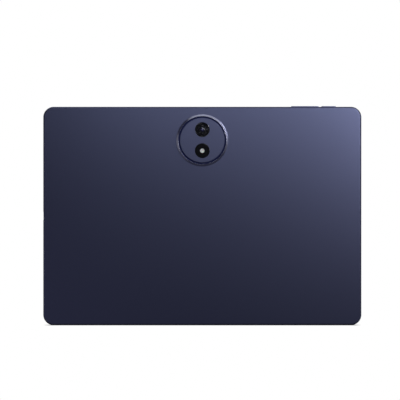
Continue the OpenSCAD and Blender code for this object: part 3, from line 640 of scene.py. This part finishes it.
# ------------------------------------------------------------------ housing

def solids(node):
    """Middle of each separate solid of a CAD node, as the piece lies."""
    bm = bmesh.new()
    bm.from_mesh(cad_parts[node].data)
    bmesh.ops.remove_doubles(bm, verts=bm.verts, dist=1e-7)
    found, seen = [], set()
    for first in bm.verts:
        if first in seen:
            continue
        solid, todo = [], [first]
        seen.add(first)
        while todo:
            vert = todo.pop()
            solid.append(UPRIGHT.inverted() @ vert.co)
            fresh = {link.other_vert(vert) for link in vert.link_edges} - seen
            seen |= fresh
            todo += fresh
        found.append((Vector(map(min, *solid)) + Vector(map(max, *solid))) / 2)
    bm.free()
    return found


def key_caps():
    """(middle, length) of the caps of the rocker and the power button."""
    boxes = [lying(node) for node in ("volume_rocker", "power_button")]
    return [((low.x + high.x) / 2, high.x - low.x - 2 * FLANGE_OVER) for low, high in boxes]


def speaker_centres():
    """Middle of each loudspeaker grille, whose foam and mesh are solids of their own."""
    return sorted({(round(spot.x), round(spot.y)) for spot in solids("speaker_meshes")})


def grille_slots():
    """Place of every slot of the four loudspeaker grilles."""
    return [
        edge((x, y + (i - (SLOT_COUNT - 1) / 2) * SLOT_PITCH))
        for x, y in speaker_centres() for i in range(SLOT_COUNT)
    ]


def housing_openings():
    """Cutter for every opening in the rear wall and the sides."""
    cutter = bmesh.new()
    through = WALL + 0.3
    for place in grille_slots():
        pill(cutter, *SLOT, flared(through), place)
    for x, length in key_caps():
        pill(cutter, length + 2 * KEY_PLAY, KEY_W + 2 * KEY_PLAY, flared(through, 0.08), edge((x, HALF_H)))
    pill(cutter, USB_SHELL[0] + 0.1, USB_SHELL[1] + 0.1, flared(through, 0.2), edge((HALF_W, 0)))
    pill(cutter, CONTACT_FACE[0] + 2 * SLIP, CONTACT_FACE[1] + 2 * SLIP, flared(through), edge((0, -HALF_H)))
    r = MICROPHONE_R
    mouth = [(0, -through), (r, -through), (r, -0.1), (r + 0.1, 0), (r + 1.1, 1), (0, 1)]
    for spot in solids("microphones"):
        lathe(cutter, mouth, edge(spot) @ OUTWARDS, steps=32)
    for y, r in ((CAMERA_Y, CAMERA_HOLE_R), (FLASH_Y, FLASH_HOLE_R)):
        hole = [(0, -1), (r, -1), (r, REAR_WALL + 1), (0, REAR_WALL + 1)]
        lathe(cutter, hole, Matrix.Translation((0, y, 0)), steps=64)
    half_gap = ANTENNA_GAP[0] / 2 + SLIP
    gap_z = (ANTENNA_GAP[1], RIM_Z + 1)
    for spot in solids("antenna_windows"):
        soft_box(cutter, (-half_gap, half_gap), (-WALL - 0.5, WALL), gap_z, 0.005, edge(spot, 0))
    return cutter


def screw_post(bm, spot):
    """Round post with the bore that a screw goes into."""
    top = BOARD_Z - SLIP
    foot = REAR_WALL - 0.01
    floor = REAR_WALL + 0.1
    post_r, bore_r = 1.7, 0.75
    section = soften([
        (0, foot, 0), (post_r, foot, 0), (post_r, top, 0.08), (bore_r, top, 0.05),
        (bore_r, floor, 0), (0, floor, 0),
    ], steps=2)
    lathe(bm, section, Matrix.Translation((spot.x, spot.y, 0)), steps=32)


def battery_ribs(bm, node):
    """A rib beside the cell and one below it."""
    low, high = lying(node)
    t, top = 0.7, 1.8
    z = (REAR_WALL - 0.01, top)
    outer = high.x + 1 if low.x > 0 else low.x - 1
    mid = (low.x + high.x) / 2
    half_length = 48
    below = low.y - 0.5
    soft_box(bm, (outer - t / 2, outer + t / 2), (low.y + 2, high.y - 2), z, 0.1)
    soft_box(bm, (mid - half_length, mid + half_length), (below - t, below), z, 0.1)


def housing_shell():
    """Metal tray with an opening for each feature, screw posts and battery ribs."""
    shell = bmesh.new()
    deep = 4.0
    side = soften([
        (deep, 0, 0), (REAR_BEVEL[0], 0, 0.35), (0, REAR_BEVEL[1], 0.5),
        (0, RIM_Z, RIM_EDGE_R), (RIM_WALL, RIM_Z, 0.08),
        (RIM_WALL, SEAT_Z, 0), (WALL, SEAT_Z, 0.08), (WALL, REAR_WALL, 0.4), (deep, REAR_WALL, 0),
    ], steps=8)
    slab(shell, (HALF_W, HALF_H), CORNER_R, side, steps=20)
    made = to_object("housing_shell", shell)
    cut(made, housing_openings())
    inside = bmesh.new()
    inside.from_mesh(made.data)
    for spot in solids("screws"):
        screw_post(inside, spot)
    for node in ("battery_left", "battery_right"):
        battery_ribs(inside, node)
    inside.to_mesh(made.data)
    inside.free()
    finish(made, ["rear_housing"], ["anodised_metal"])


def antenna_inserts():
    """Plastic that fills the four gaps in the metal sides, flush with them."""
    bm = bmesh.new()
    width, foot = ANTENNA_GAP
    section = soften([
        (0, foot, 0), (0, RIM_Z, RIM_EDGE_R), (-RIM_WALL, RIM_Z, 0.08), (-RIM_WALL, SEAT_Z, 0),
        (-WALL, SEAT_Z, 0), (-WALL, foot, 0),
    ], steps=8)
    for spot in solids("antenna_windows"):
        place = edge(spot, 0)
        skin(bm, [[place @ Vector((x, y, z)) for y, z in section] for x in (-width / 2, width / 2)])
    finish(to_object("antenna_inserts", bm), ["antenna_windows"], ["navy_plastic"])


def speaker_screens():
    """Wire mesh behind each grille, held by a frame of foam."""
    screens = bmesh.new()
    foam_frames = bmesh.new()
    half, cells = (17.0, 1.3), (68, 5)
    wire = 0.16
    depth = WALL + 0.17
    foam_half, foam_w, corner_r = (17.5, 1.5), 0.6, 0.62
    back, front = -WALL - 0.8, -WALL - 0.32
    ring = [(0, back), (0, front), (foam_w, front), (foam_w, back)]
    for x, y in speaker_centres():
        place = edge((x, y)) @ OUTWARDS
        flat = place @ Matrix.Translation((0, 0, -depth)) @ Matrix.Diagonal((*half, 1, 1))
        bmesh.ops.create_grid(screens, x_segments=cells[0], y_segments=cells[1], size=1, matrix=flat)
        slab(foam_frames, foam_half, corner_r, ring, place, closed=True, steps=3)
    made = to_object("speaker_screens", screens)
    wires = made.modifiers.new("wires", "WIREFRAME")
    wires.thickness = wire
    wires.use_boundary = True
    bake(made)
    joined = bmesh.new()
    joined.from_mesh(made.data)
    first_foam = len(joined.faces)
    foam_object = to_object("foam", foam_frames)
    joined.from_mesh(foam_object.data)
    bpy.data.objects.remove(foam_object)
    for i, face in enumerate(joined.faces):
        face.material_index = int(i >= first_foam)
    joined.to_mesh(made.data)
    joined.free()
    finish(made, ["speaker_meshes"], ["black_metal", "adhesive"])


# ------------------------------------------------------------------ display

def front_holes(play, z):
    """Cutter for the front camera's and the light sensor's openings."""
    bm = bmesh.new()
    spot = middle_of_front_camera()
    r = FRONT_CAMERA_R + play
    hole = [(0, z[0]), (r, z[0]), (r, z[1]), (0, z[1])]
    lathe(bm, hole, Matrix.Translation((spot.x, spot.y, 0)), steps=48)
    sensor = middle("light_sensor")
    x, y = SENSOR_HALF[0] + play, SENSOR_HALF[1] + play
    soft_box(bm, (sensor.x - x, sensor.x + x), (spot.y - y, spot.y + y), z, 0.01)
    return bm


def middle_of_front_camera():
    """Middle of the front camera's lens, as seen from the front."""
    return Vector((middle("front_camera").x, HALF_H - FRONT_CAMERA_DROP, 0))


def display_frame():
    """Plastic ring under the glass, with a thin lip between the glass and the metal."""
    outer = RIM_WALL + 0.05
    inner = PANEL_INSET - 0.2
    lip = GLASS_INSET - 0.05
    low, high = SEAT_Z + SLIP, GLASS_Z - 0.1
    section = soften([
        (outer, low, 0), (inner, low, 0), (inner, high, 0.05), (lip, high, 0),
        (lip, RIM_Z + 0.05, 0.08), (outer, RIM_Z + 0.05, 0.08),
    ], closed=True, steps=4)
    bm = bmesh.new()
    half = (HALF_W, HALF_H)
    inner_r = 1.3
    loops = [
        outline(half, inset, inner_r if inset > inner - 0.1 else CORNER_R - inset, z, steps=16)
        for inset, z in section
    ]
    skin(bm, loops, closed=True)
    made = to_object("display_frame", bm)
    cut(made, front_holes(0.1, (SEAT_Z - 1, FRONT_Z)))
    finish(made, ["mid_frame"], ["black_plastic"])


def glass_pane():
    """Cover glass with a rounded front edge, and the black border printed behind it."""
    half = lying("cover_glass")[1].xy
    deep = 6.0
    pane = bmesh.new()
    side = soften([(deep, GLASS_Z, 0), (0, GLASS_Z, 0.06), (0, FRONT_Z, 0.32), (deep, FRONT_Z, 0)], steps=7)
    slab(pane, half, CORNER_R - GLASS_INSET, side, steps=20)
    ink = bmesh.new()
    picture = [side / 2 * SCREEN_DIAGONAL / math.hypot(*SCREEN_RATIO) for side in SCREEN_RATIO]
    picture_r = 0.6
    ink_inset = 0.12
    ink_r = CORNER_R - GLASS_INSET - ink_inset
    low, high = GLASS_Z - 0.013, GLASS_Z - 0.003
    loops = [
        outline(half, ink_inset, ink_r, low, steps=20),
        outline(half, ink_inset, ink_r, high, steps=20),
        outline(picture, 0, picture_r, high, steps=20),
        outline(picture, 0, picture_r, low, steps=20),
    ]
    skin(ink, loops, closed=True)
    printed = to_object("ink", ink)
    cut(printed, front_holes(-0.15, (GLASS_Z - 1, GLASS_Z + 0.3)))
    pane.from_mesh(printed.data)
    bpy.data.objects.remove(printed)
    finish(to_object("glass_pane", pane), ["cover_glass"], ["screen_glass", "border_print"],
           choose=lambda centre: int(centre.z < GLASS_Z - 0.001))


def selfie_camera():
    """Front camera: case, barrel with a conical mouth and a domed lens, and its ribbon."""
    spot = middle_of_front_camera()
    low, high = lying("front_camera")
    case_top, case_half = 4.35, 3
    case = (spot.y - 2.5, spot.y + 2.2)
    mouth_r, floor_r, floor = 0.85, 0.5, high.z - 0.42
    lens_r, lens_h = 0.46, 0.16
    rim = floor + 0.02
    ribbon_half = 2
    ribbon_run = (lying("main_board")[1].y + 0.5, case[0] + 0.01)
    place = Matrix.Translation((spot.x, spot.y, 0))
    bm = bmesh.new()
    soft_box(bm, (spot.x - case_half, spot.x + case_half), case, (low.z, case_top), 0.2)
    barrel = soften([
        (0, case_top - 0.01, 0), (FRONT_CAMERA_R, case_top - 0.01, 0), (FRONT_CAMERA_R, high.z, 0.08),
        (mouth_r, high.z, 0.03), (floor_r, floor, 0.03), (0, floor, 0),
    ], steps=3)
    lathe(bm, barrel, place, steps=48)
    lens = [(0, floor + 0.01)] + [
        (lens_r * math.cos(a), rim + lens_h * math.sin(a)) for a in (k * math.pi / 16 for k in range(8))
    ] + [(0, rim + lens_h)]
    lathe(bm, lens, place, steps=48)
    soft_box(bm, (spot.x - ribbon_half, spot.x + ribbon_half), ribbon_run,
             (BOARD_Z + 0.62, BOARD_Z + 0.75), 0.02)

    def pick(centre):
        away = (Vector((centre.x, centre.y, 0)) - spot).length
        if centre.y < case[0] - 0.01:
            return 2
        return int(away < lens_r + 0.01 and centre.z > floor + 0.005)

    finish(to_object("selfie_camera", bm), ["front_camera"],
           ["black_plastic", "lens_glass", "ribbon"], choose=pick)


# ------------------------------------------------------------------ camera island

def on_island(y):
    """Place on the rear face whose z points outwards, away from the screen."""
    return Matrix.Translation((0, y, 0)) @ Matrix.Scale(-1, 4, (0, 0, 1))


def island_ring():
    """Ring: a straight bevel outside, and inside it a groove round the disc, painted dark as shade."""
    bore = DISC_R + 0.1
    crest = RING_R - 1.8
    foot = 0.4
    groove = DISC_H - 0.85
    section = soften([
        (bore, SLIP, 0), (RING_R, SLIP, 0), (RING_R, foot, 0.08), (crest + 0.1, RING_H, 0.05),
        (crest, RING_H - 0.05, 0.05), (crest - 0.05, groove, 0.1), (bore, groove, 0),
    ], closed=True, steps=6)
    bm = bmesh.new()
    lathe(bm, section, on_island(ISLAND_Y), steps=192, closed=True)

    def pick(centre):
        away = (centre - Vector((0, ISLAND_Y, centre.z))).length
        # Painted shade: faces inside the crest, and the crest's inner rounding with them, take the dark
        # groove material.
        return int(away < crest + 0.06)

    finish(to_object("island_ring", bm), ["camera_ring"], ["island_metal", "island_groove_shade"],
           choose=pick)


def island_disc():
    """Disc with a seat for each window and a hole behind it."""
    bm = bmesh.new()
    section = soften([(0, SLIP, 0), (DISC_R, SLIP, 0), (DISC_R, DISC_H, 0.1), (0, DISC_H, 0)], steps=5)
    lathe(bm, section, on_island(ISLAND_Y), steps=192)
    made = to_object("island_disc", bm)
    holes = bmesh.new()
    seat = WINDOW_H - WINDOW_T - SLIP
    r = WINDOW_R + SLIP
    camera_hole_r = 5.0
    for y, hole_r in ((CAMERA_Y, camera_hole_r), (FLASH_Y, FLASH_HOLE_R)):
        section = [(0, -1), (hole_r, -1), (hole_r, seat), (r, seat), (r, DISC_H - 0.08), (r + 0.08, DISC_H),
                   (r + 1.08, DISC_H + 1), (0, DISC_H + 1)]
        lathe(holes, section, on_island(y), steps=96)
    cut(made, holes)
    finish(made, ["camera_plate"], ["anodised_metal"])


def camera_pane():
    """Window of clear glass, with a black print behind it that leaves the lens clear."""
    inner = WINDOW_H - WINDOW_T
    place = on_island(CAMERA_Y)
    bm = bmesh.new()
    pane = soften([
        (0, inner, 0), (WINDOW_R, inner, 0.05), (WINDOW_R, WINDOW_H, 0.15), (0, WINDOW_H, 0),
    ], steps=5)
    lathe(bm, pane, place)
    clear_r, ink_r = 3.0, WINDOW_R - 0.06
    low, high = inner - 0.015, inner - 0.005
    ink = [(clear_r, low), (ink_r, low), (ink_r, high), (clear_r, high)]
    lathe(bm, ink, place, closed=True)
    finish(to_object("camera_pane", bm), ["camera_window"], ["window_glass", "border_print"],
           choose=lambda centre: int(-centre.z < inner - 0.001))


def flash_pane():
    """Black window with a milky lens of fine steps in its middle."""
    inner = WINDOW_H - WINDOW_T
    place = on_island(FLASH_Y)
    bm = bmesh.new()
    gap = 0.05
    ring = soften([(FLASH_LENS_R + gap, inner, 0), (WINDOW_R, inner, 0.05), (WINDOW_R, WINDOW_H, 0.15),
                   (FLASH_LENS_R + gap, WINDOW_H, 0.06)], closed=True, steps=5)
    lathe(bm, ring, place, closed=True)
    steps_h = WINDOW_H - 0.06
    count = 5
    pitch = FLASH_LENS_R / (count + 0.5)
    flange_r, low, high = 2.6, inner - 0.2, inner - 0.02
    lens = [(0, low), (flange_r, low), (flange_r, high), (FLASH_LENS_R, high), (FLASH_LENS_R, steps_h)]
    step_depth = 0.09
    for i in range(count, 0, -1):
        r = pitch * (i + 0.5)
        lens += [(r - 0.04, steps_h), (r - pitch + 0.02, steps_h - step_depth), (r - pitch, steps_h)]
    lens += [(0.1, steps_h + 0.02), (0, steps_h + 0.02)]
    lathe(bm, lens, place)

    def pick(centre):
        away = (centre - Vector((0, FLASH_Y, centre.z))).length
        return int(away < FLASH_LENS_R or -centre.z < inner - 0.001)

    finish(to_object("flash_pane", bm), ["flash_window"], ["black_window", "flash_lens"],
           choose=pick, sharp=20)


def lens_tube():
    """Barrel of the lens: bores for its elements, and light-trapping rings at its mouth."""
    low, high = lying("lens_barrel")
    front, back = -low.z, -high.z
    front_r, middle_r, rear_r = 2.17, 1.67, 2.27
    front_seat, rear_seat = front - 0.55, back + 0.9
    ring_foot = front - 0.08
    section = soften([
        (high.x, back, 0.1), (high.x, front, 0.12), (3.0, front, 0.03), (2.95, ring_foot, 0),
        (2.8, ring_foot, 0), (2.75, front, 0.03), (front_r + 0.38, front, 0.04),
        (front_r, front - 0.25, 0.03), (front_r, front_seat, 0), (middle_r, front_seat, 0),
        (middle_r, rear_seat, 0), (rear_r, rear_seat, 0), (rear_r, back, 0.05),
    ], closed=True, steps=3)
    bm = bmesh.new()
    lathe(bm, section, on_island(CAMERA_Y), closed=True)
    finish(to_object("lens_tube", bm), ["lens_barrel"], ["black_metal"], body="lens_barrel")


def dome(r, rim, crown, steps=10):
    """Points of a lens's face from its rim to its crown, as (radius, height)."""
    rise = crown - rim
    ball = (r * r + rise * rise) / (2 * rise)
    spread = math.asin(r / abs(ball))
    return [(abs(ball) * math.sin(a), crown - ball + ball * math.cos(a))
            for a in (spread * (1 - k / steps) for k in range(steps + 1))]


def lens_stack():
    """Front element with a domed face, a middle element and the rear element."""
    front = -lying("lens_barrel")[0].z
    place = on_island(CAMERA_Y)
    elements = (  # radius, then the heights of the flat back, the rim and the crown
        (2.15, front - 0.53, front - 0.48, front - 0.08),
        (1.65, -0.88, -0.55, -0.31),
        (2.25, -2.58, -2.5, -2.1),
    )
    bm = bmesh.new()
    for r, low, rim, crown in elements:
        face = dome(r, rim, crown)
        face[-1] = (0, crown)
        lathe(bm, [(0, low), (r, low)] + face, place, steps=64)
    finish(to_object("lens_stack", bm), ["lens_elements"], ["lens_glass"], body="lens_barrel")


# ------------------------------------------------------------------ keys, socket, contacts

def key_body(name, x, length, gap, nubs):
    """Key with a soft crowned cap, the flange behind the wall and the nubs that press."""
    proud = lying(name)[1].y - HALF_H
    place = edge((x, HALF_H))
    flange_t, flange_half = 0.6, 1.35
    nub_half, nub_z, nub_end = 0.8, (-0.6, 0.6), -WALL - 1.7
    flange = (-WALL - gap - flange_t, -WALL - gap)
    half_length = length / 2 + FLANGE_OVER
    bm = bmesh.new()
    cap = soften([(0.6, flange[1] - 0.02, 0), (0, flange[1] - 0.02, 0), (0, proud - 0.04, 0.16),
                  (0.5, proud - 0.02, 0.6), (0.95, proud, 0)], steps=6)
    pill(bm, length, KEY_W, cap, place, steps=14)
    soft_box(bm, (-half_length, half_length), flange, (-flange_half, flange_half), 0.1, place)
    for nub_x in nubs:
        nub = (nub_x - nub_half, nub_x + nub_half)
        soft_box(bm, nub, (nub_end, flange[0] + 0.02), nub_z, 0.1, place)
    return bm, place


def rocker_key():
    """Volume rocker. Its lug turns on the pin, and a nub at each side presses a switch."""
    x, length = key_caps()[0]
    nub_pitch, pin_depth, lug_r, lug_half, bore_r = 8, 1.9, 0.9, 0.9, 0.43
    bm, place = key_body("volume_rocker", x, length, 0.4, (-nub_pitch, nub_pitch))
    soft_box(bm, (-lug_r, lug_r), (-WALL - pin_depth, -WALL - 0.95), (-lug_half, lug_half), 0.02, place)
    pin_place = place @ Matrix.Translation((0, -WALL - pin_depth, 0))
    lathe(bm, [(0, -lug_half), (lug_r, -lug_half), (lug_r, lug_half), (0, lug_half)], pin_place, steps=32)
    made = to_object("rocker_key", bm)
    bore = bmesh.new()
    lathe(bore, [(0, -2), (bore_r, -2), (bore_r, 2), (0, 2)], pin_place, steps=32)
    cut(made, bore)
    finish(made, ["volume_rocker"], ["anodised_metal"], body="volume_rocker")


def power_key():
    x, length = key_caps()[1]
    bm, place = key_body("power_button", x, length, 0.05, (0,))
    made = to_object("power_key", bm)
    finish(made, ["power_button"], ["anodised_metal"], body="power_button")


def socket_shell():
    """Drawn metal shell of the socket: a rolled lip, and closed at its inner end."""
    low, high = lying("usb_connector")
    mouth, end = high.x - HALF_W, low.x - HALF_W
    bm = bmesh.new()
    section = soften([
        (1.0, end, 0), (0, end, 0.4), (0, mouth, 0.12), (USB_METAL, mouth, 0.12),
        (USB_METAL, end + 1, 0.2), (1.2, end + 1, 0),
    ], steps=5)
    pill(bm, *USB_SHELL, section, edge((HALF_W, 0)), steps=16)
    finish(to_object("socket_shell", bm), ["usb_connector"], ["sheet_steel"])


def socket_tongue():
    """Moulded tongue on a plug that fills the shell's inner end, with its contacts."""
    low, high = lying("usb_tongue")
    back, tip = low.x - HALF_W, high.x - HALF_W
    place = edge((HALF_W, 0))
    half_w, half_t = 3.35, 0.35
    base_end = back + 1.18
    bm = bmesh.new()
    soft_box(bm, (-half_w, half_w), (back, tip), (-half_t, half_t), 0.12, place)
    play = 2 * (USB_METAL + 0.05)
    base = soften([(0.8, back, 0), (0, back, 0.1), (0, base_end, 0.1), (0.8, base_end, 0)], steps=3)
    pill(bm, USB_SHELL[0] - play, USB_SHELL[1] - play, base, place)
    finish(to_object("socket_tongue", bm), ["usb_tongue"], ["black_plastic"])
    pads = bmesh.new()
    pitch, count, half_pad = 0.5, 12, 0.14
    for i in range(count):
        x = (i - (count - 1) / 2) * pitch
        for side in (-1, 1):
            z = sorted((side * (half_t - 0.05), side * (half_t + 0.02)))
            soft_box(pads, (x - half_pad, x + half_pad), (back + 1.3, tip - 0.3), z, 0.02, place)
    contacts = to_object("socket_contacts", pads)
    finish(contacts, [], ["gold_contact"])


def pad_block():
    """Moulded block of the keyboard contacts, set a little into the lower side."""
    place = edge((0, -HALF_H))
    bm = bmesh.new()
    back = -WALL - SLIP - 0.01
    sunk = -0.25
    face = soften([(1.2, back, 0), (0, back, 0), (0, sunk, 0.1), (1.2, sunk, 0)])
    pill(bm, *CONTACT_FACE, face, place, steps=16)
    flange_half, flange, flange_z = 8, (-WALL - 1.4, -WALL - SLIP), (-1.7, 1.4)
    soft_box(bm, (-flange_half, flange_half), flange, flange_z, 0.1, place)
    made = to_object("pad_block", bm)
    holes = bmesh.new()
    for spot in solids("keyboard_contacts"):
        r = CONTACT_R + SLIP
        bore = [(0, -4), (r, -4), (r, sunk - 0.06), (r + 0.06, sunk), (r + 0.2, 0.5), (0, 0.5)]
        lathe(holes, bore, edge((spot.x, -HALF_H)) @ OUTWARDS, steps=48)
    cut(made, holes)
    finish(made, ["contact_block"], ["black_plastic"])


def contact_pads():
    """Three gilt pins with slightly domed faces."""
    rim, crown, end = -0.26, -0.2, -2.6
    face = dome(CONTACT_R - 0.08, rim, crown)
    face[-1] = (0, crown)
    pin = [(0, end), (CONTACT_R - 0.1, end), (CONTACT_R, end + 0.1), (CONTACT_R, rim - 0.08)] + face
    bm = bmesh.new()
    for spot in solids("keyboard_contacts"):
        lathe(bm, pin, edge((spot.x, -HALF_H)) @ OUTWARDS, steps=48)
    finish(to_object("contact_pads", bm), ["keyboard_contacts"], ["gold_contact"])


# ------------------------------------------------------------------ stage, lights and camera

def emission(name, shadowed=False):
    """White backdrop. Where it is shadowed, things within 4 mm of it darken it."""
    material = bpy.data.materials.new(name)
    material.use_nodes = True
    tree = material.node_tree
    tree.nodes.remove(tree.nodes["Principled BSDF"])
    glow = tree.nodes.new("ShaderNodeEmission")
    tree.links.new(glow.outputs[0], tree.nodes["Material Output"].inputs["Surface"])
    if shadowed:
        near = tree.nodes.new("ShaderNodeAmbientOcclusion")
        near.inputs["Distance"].default_value = 0.004
        near.samples = 8
        tree.links.new(near.outputs["Color"], glow.inputs["Color"])
    return material


def stage():
    """Pale floor and backdrop that only the camera sees, so they send no light back."""
    reach = 4000
    dome_wall = [(reach * math.cos(a), reach * math.sin(a)) for a in (k * math.pi / 32 for k in range(16))]
    for name, profile, shadowed in (
        ("floor", [(0, 0), (reach, 0)], True),
        ("backdrop", dome_wall + [(0, reach)], False),
    ):
        bm = bmesh.new()
        lathe(bm, profile, steps=64)
        made = to_object(name, bm)
        made.data.transform(Matrix.Scale(MM, 4))
        made.data.materials.append(emission(name + "_light", shadowed))
        for ray in ("diffuse", "glossy", "transmission", "volume_scatter", "shadow"):
            setattr(made, "visible_" + ray, False)


def softbox(name, place, size, radiance, tint=(1, 1, 1), target=(0, 0, 0.12), roll=0.0):
    """Area light that faces the target, in metres. The radiance is that of its own surface."""
    data = bpy.data.lights.new(name, "AREA")
    data.shape = "RECTANGLE"
    data.size, data.size_y = size
    data.energy = radiance * math.pi * size[0] * size[1]
    data.color = tint
    made = bpy.data.objects.new(name, data)
    aim = (Vector(target) - Vector(place)).to_track_quat("-Z", "Y").to_matrix().to_4x4()
    made.matrix_world = Matrix.Translation(place) @ aim @ Matrix.Rotation(math.radians(roll), 4, "Z")
    made.visible_camera = False
    bpy.context.scene.collection.objects.link(made)


def lights():
    softbox("key_light", (-0.35, 0.3, 0.36), (0.37, 0.37), 8.1, (0.98, 1.0, 0.99))
    softbox("upper_light", (-0.04, 0.57, 0.43), (0.41, 0.41), 1.43, (0.93, 0.985, 1.0))
    softbox("low_light", (0.33, 0.53, -0.2), (0.5, 0.5), 0.15, (0.85, 0.82, 1.0))
    softbox("top_rim", (-0.05, -0.12, 1.0), (1.5, 0.6), 0.46, (0.9, 0.93, 1.0))
    softbox("right_rim", (-1.0, -0.3, 0.1), (0.8, 0.8), 0.13)
    softbox("left_fill", (0.8, 0.6, -0.3), (0.8, 0.8), 0.35)
    softbox("side_light", (1.4, -0.1, 0.12), (0.7, 0.9), 0.22)
    softbox("front_card", (-0.3, -1.6, -0.05), (0.7, 1.2), 0.5, roll=28)
    softbox("low_card", (-1.35, -0.95, -0.5), (0.5, 1.5), 0.8, roll=-28)
    softbox("front_light", (0.9, -1.1, 0.9), (0.9, 0.9), 2.0)
    world = bpy.data.worlds.new("studio")
    world.use_nodes = True
    background = world.node_tree.nodes["Background"]
    background.inputs["Color"].default_value = (0.7, 0.7, 1.0, 1)
    background.inputs["Strength"].default_value = 0.05
    bpy.context.scene.world = world


def camera():
    """Long lens straight behind the tablet and a little above its middle, in metres."""
    distance = 1.3641
    off_middle = (0.0021, 0.01457)
    data = bpy.data.cameras.new("camera")
    data.lens = 135
    data.clip_end = 20
    made = bpy.data.objects.new("camera", data)
    made.location = (off_middle[0], REAR_Y + distance, HALF_H * MM + off_middle[1])
    made.rotation_euler = (math.pi / 2, 0, math.pi)
    bpy.context.scene.collection.objects.link(made)
    bpy.context.scene.camera = made
    bpy.context.scene.view_settings.view_transform = "Standard"


# ------------------------------------------------------------------ the whole tablet

def inner_parts():
    """Gives every CAD node that still shows the finish of its material slot."""
    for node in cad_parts.values():
        if not node.hide_render:
            slot = node.data.materials[0].name
            node.data.materials[0] = finish_named(slot)


housing_shell()
antenna_inserts()
speaker_screens()
display_frame()
glass_pane()
selfie_camera()
island_ring()
island_disc()
camera_pane()
flash_pane()
lens_tube()
lens_stack()
rocker_key()
power_key()
socket_shell()
socket_tongue()
pad_block()
contact_pads()
inner_parts()
stage()
lights()
camera()
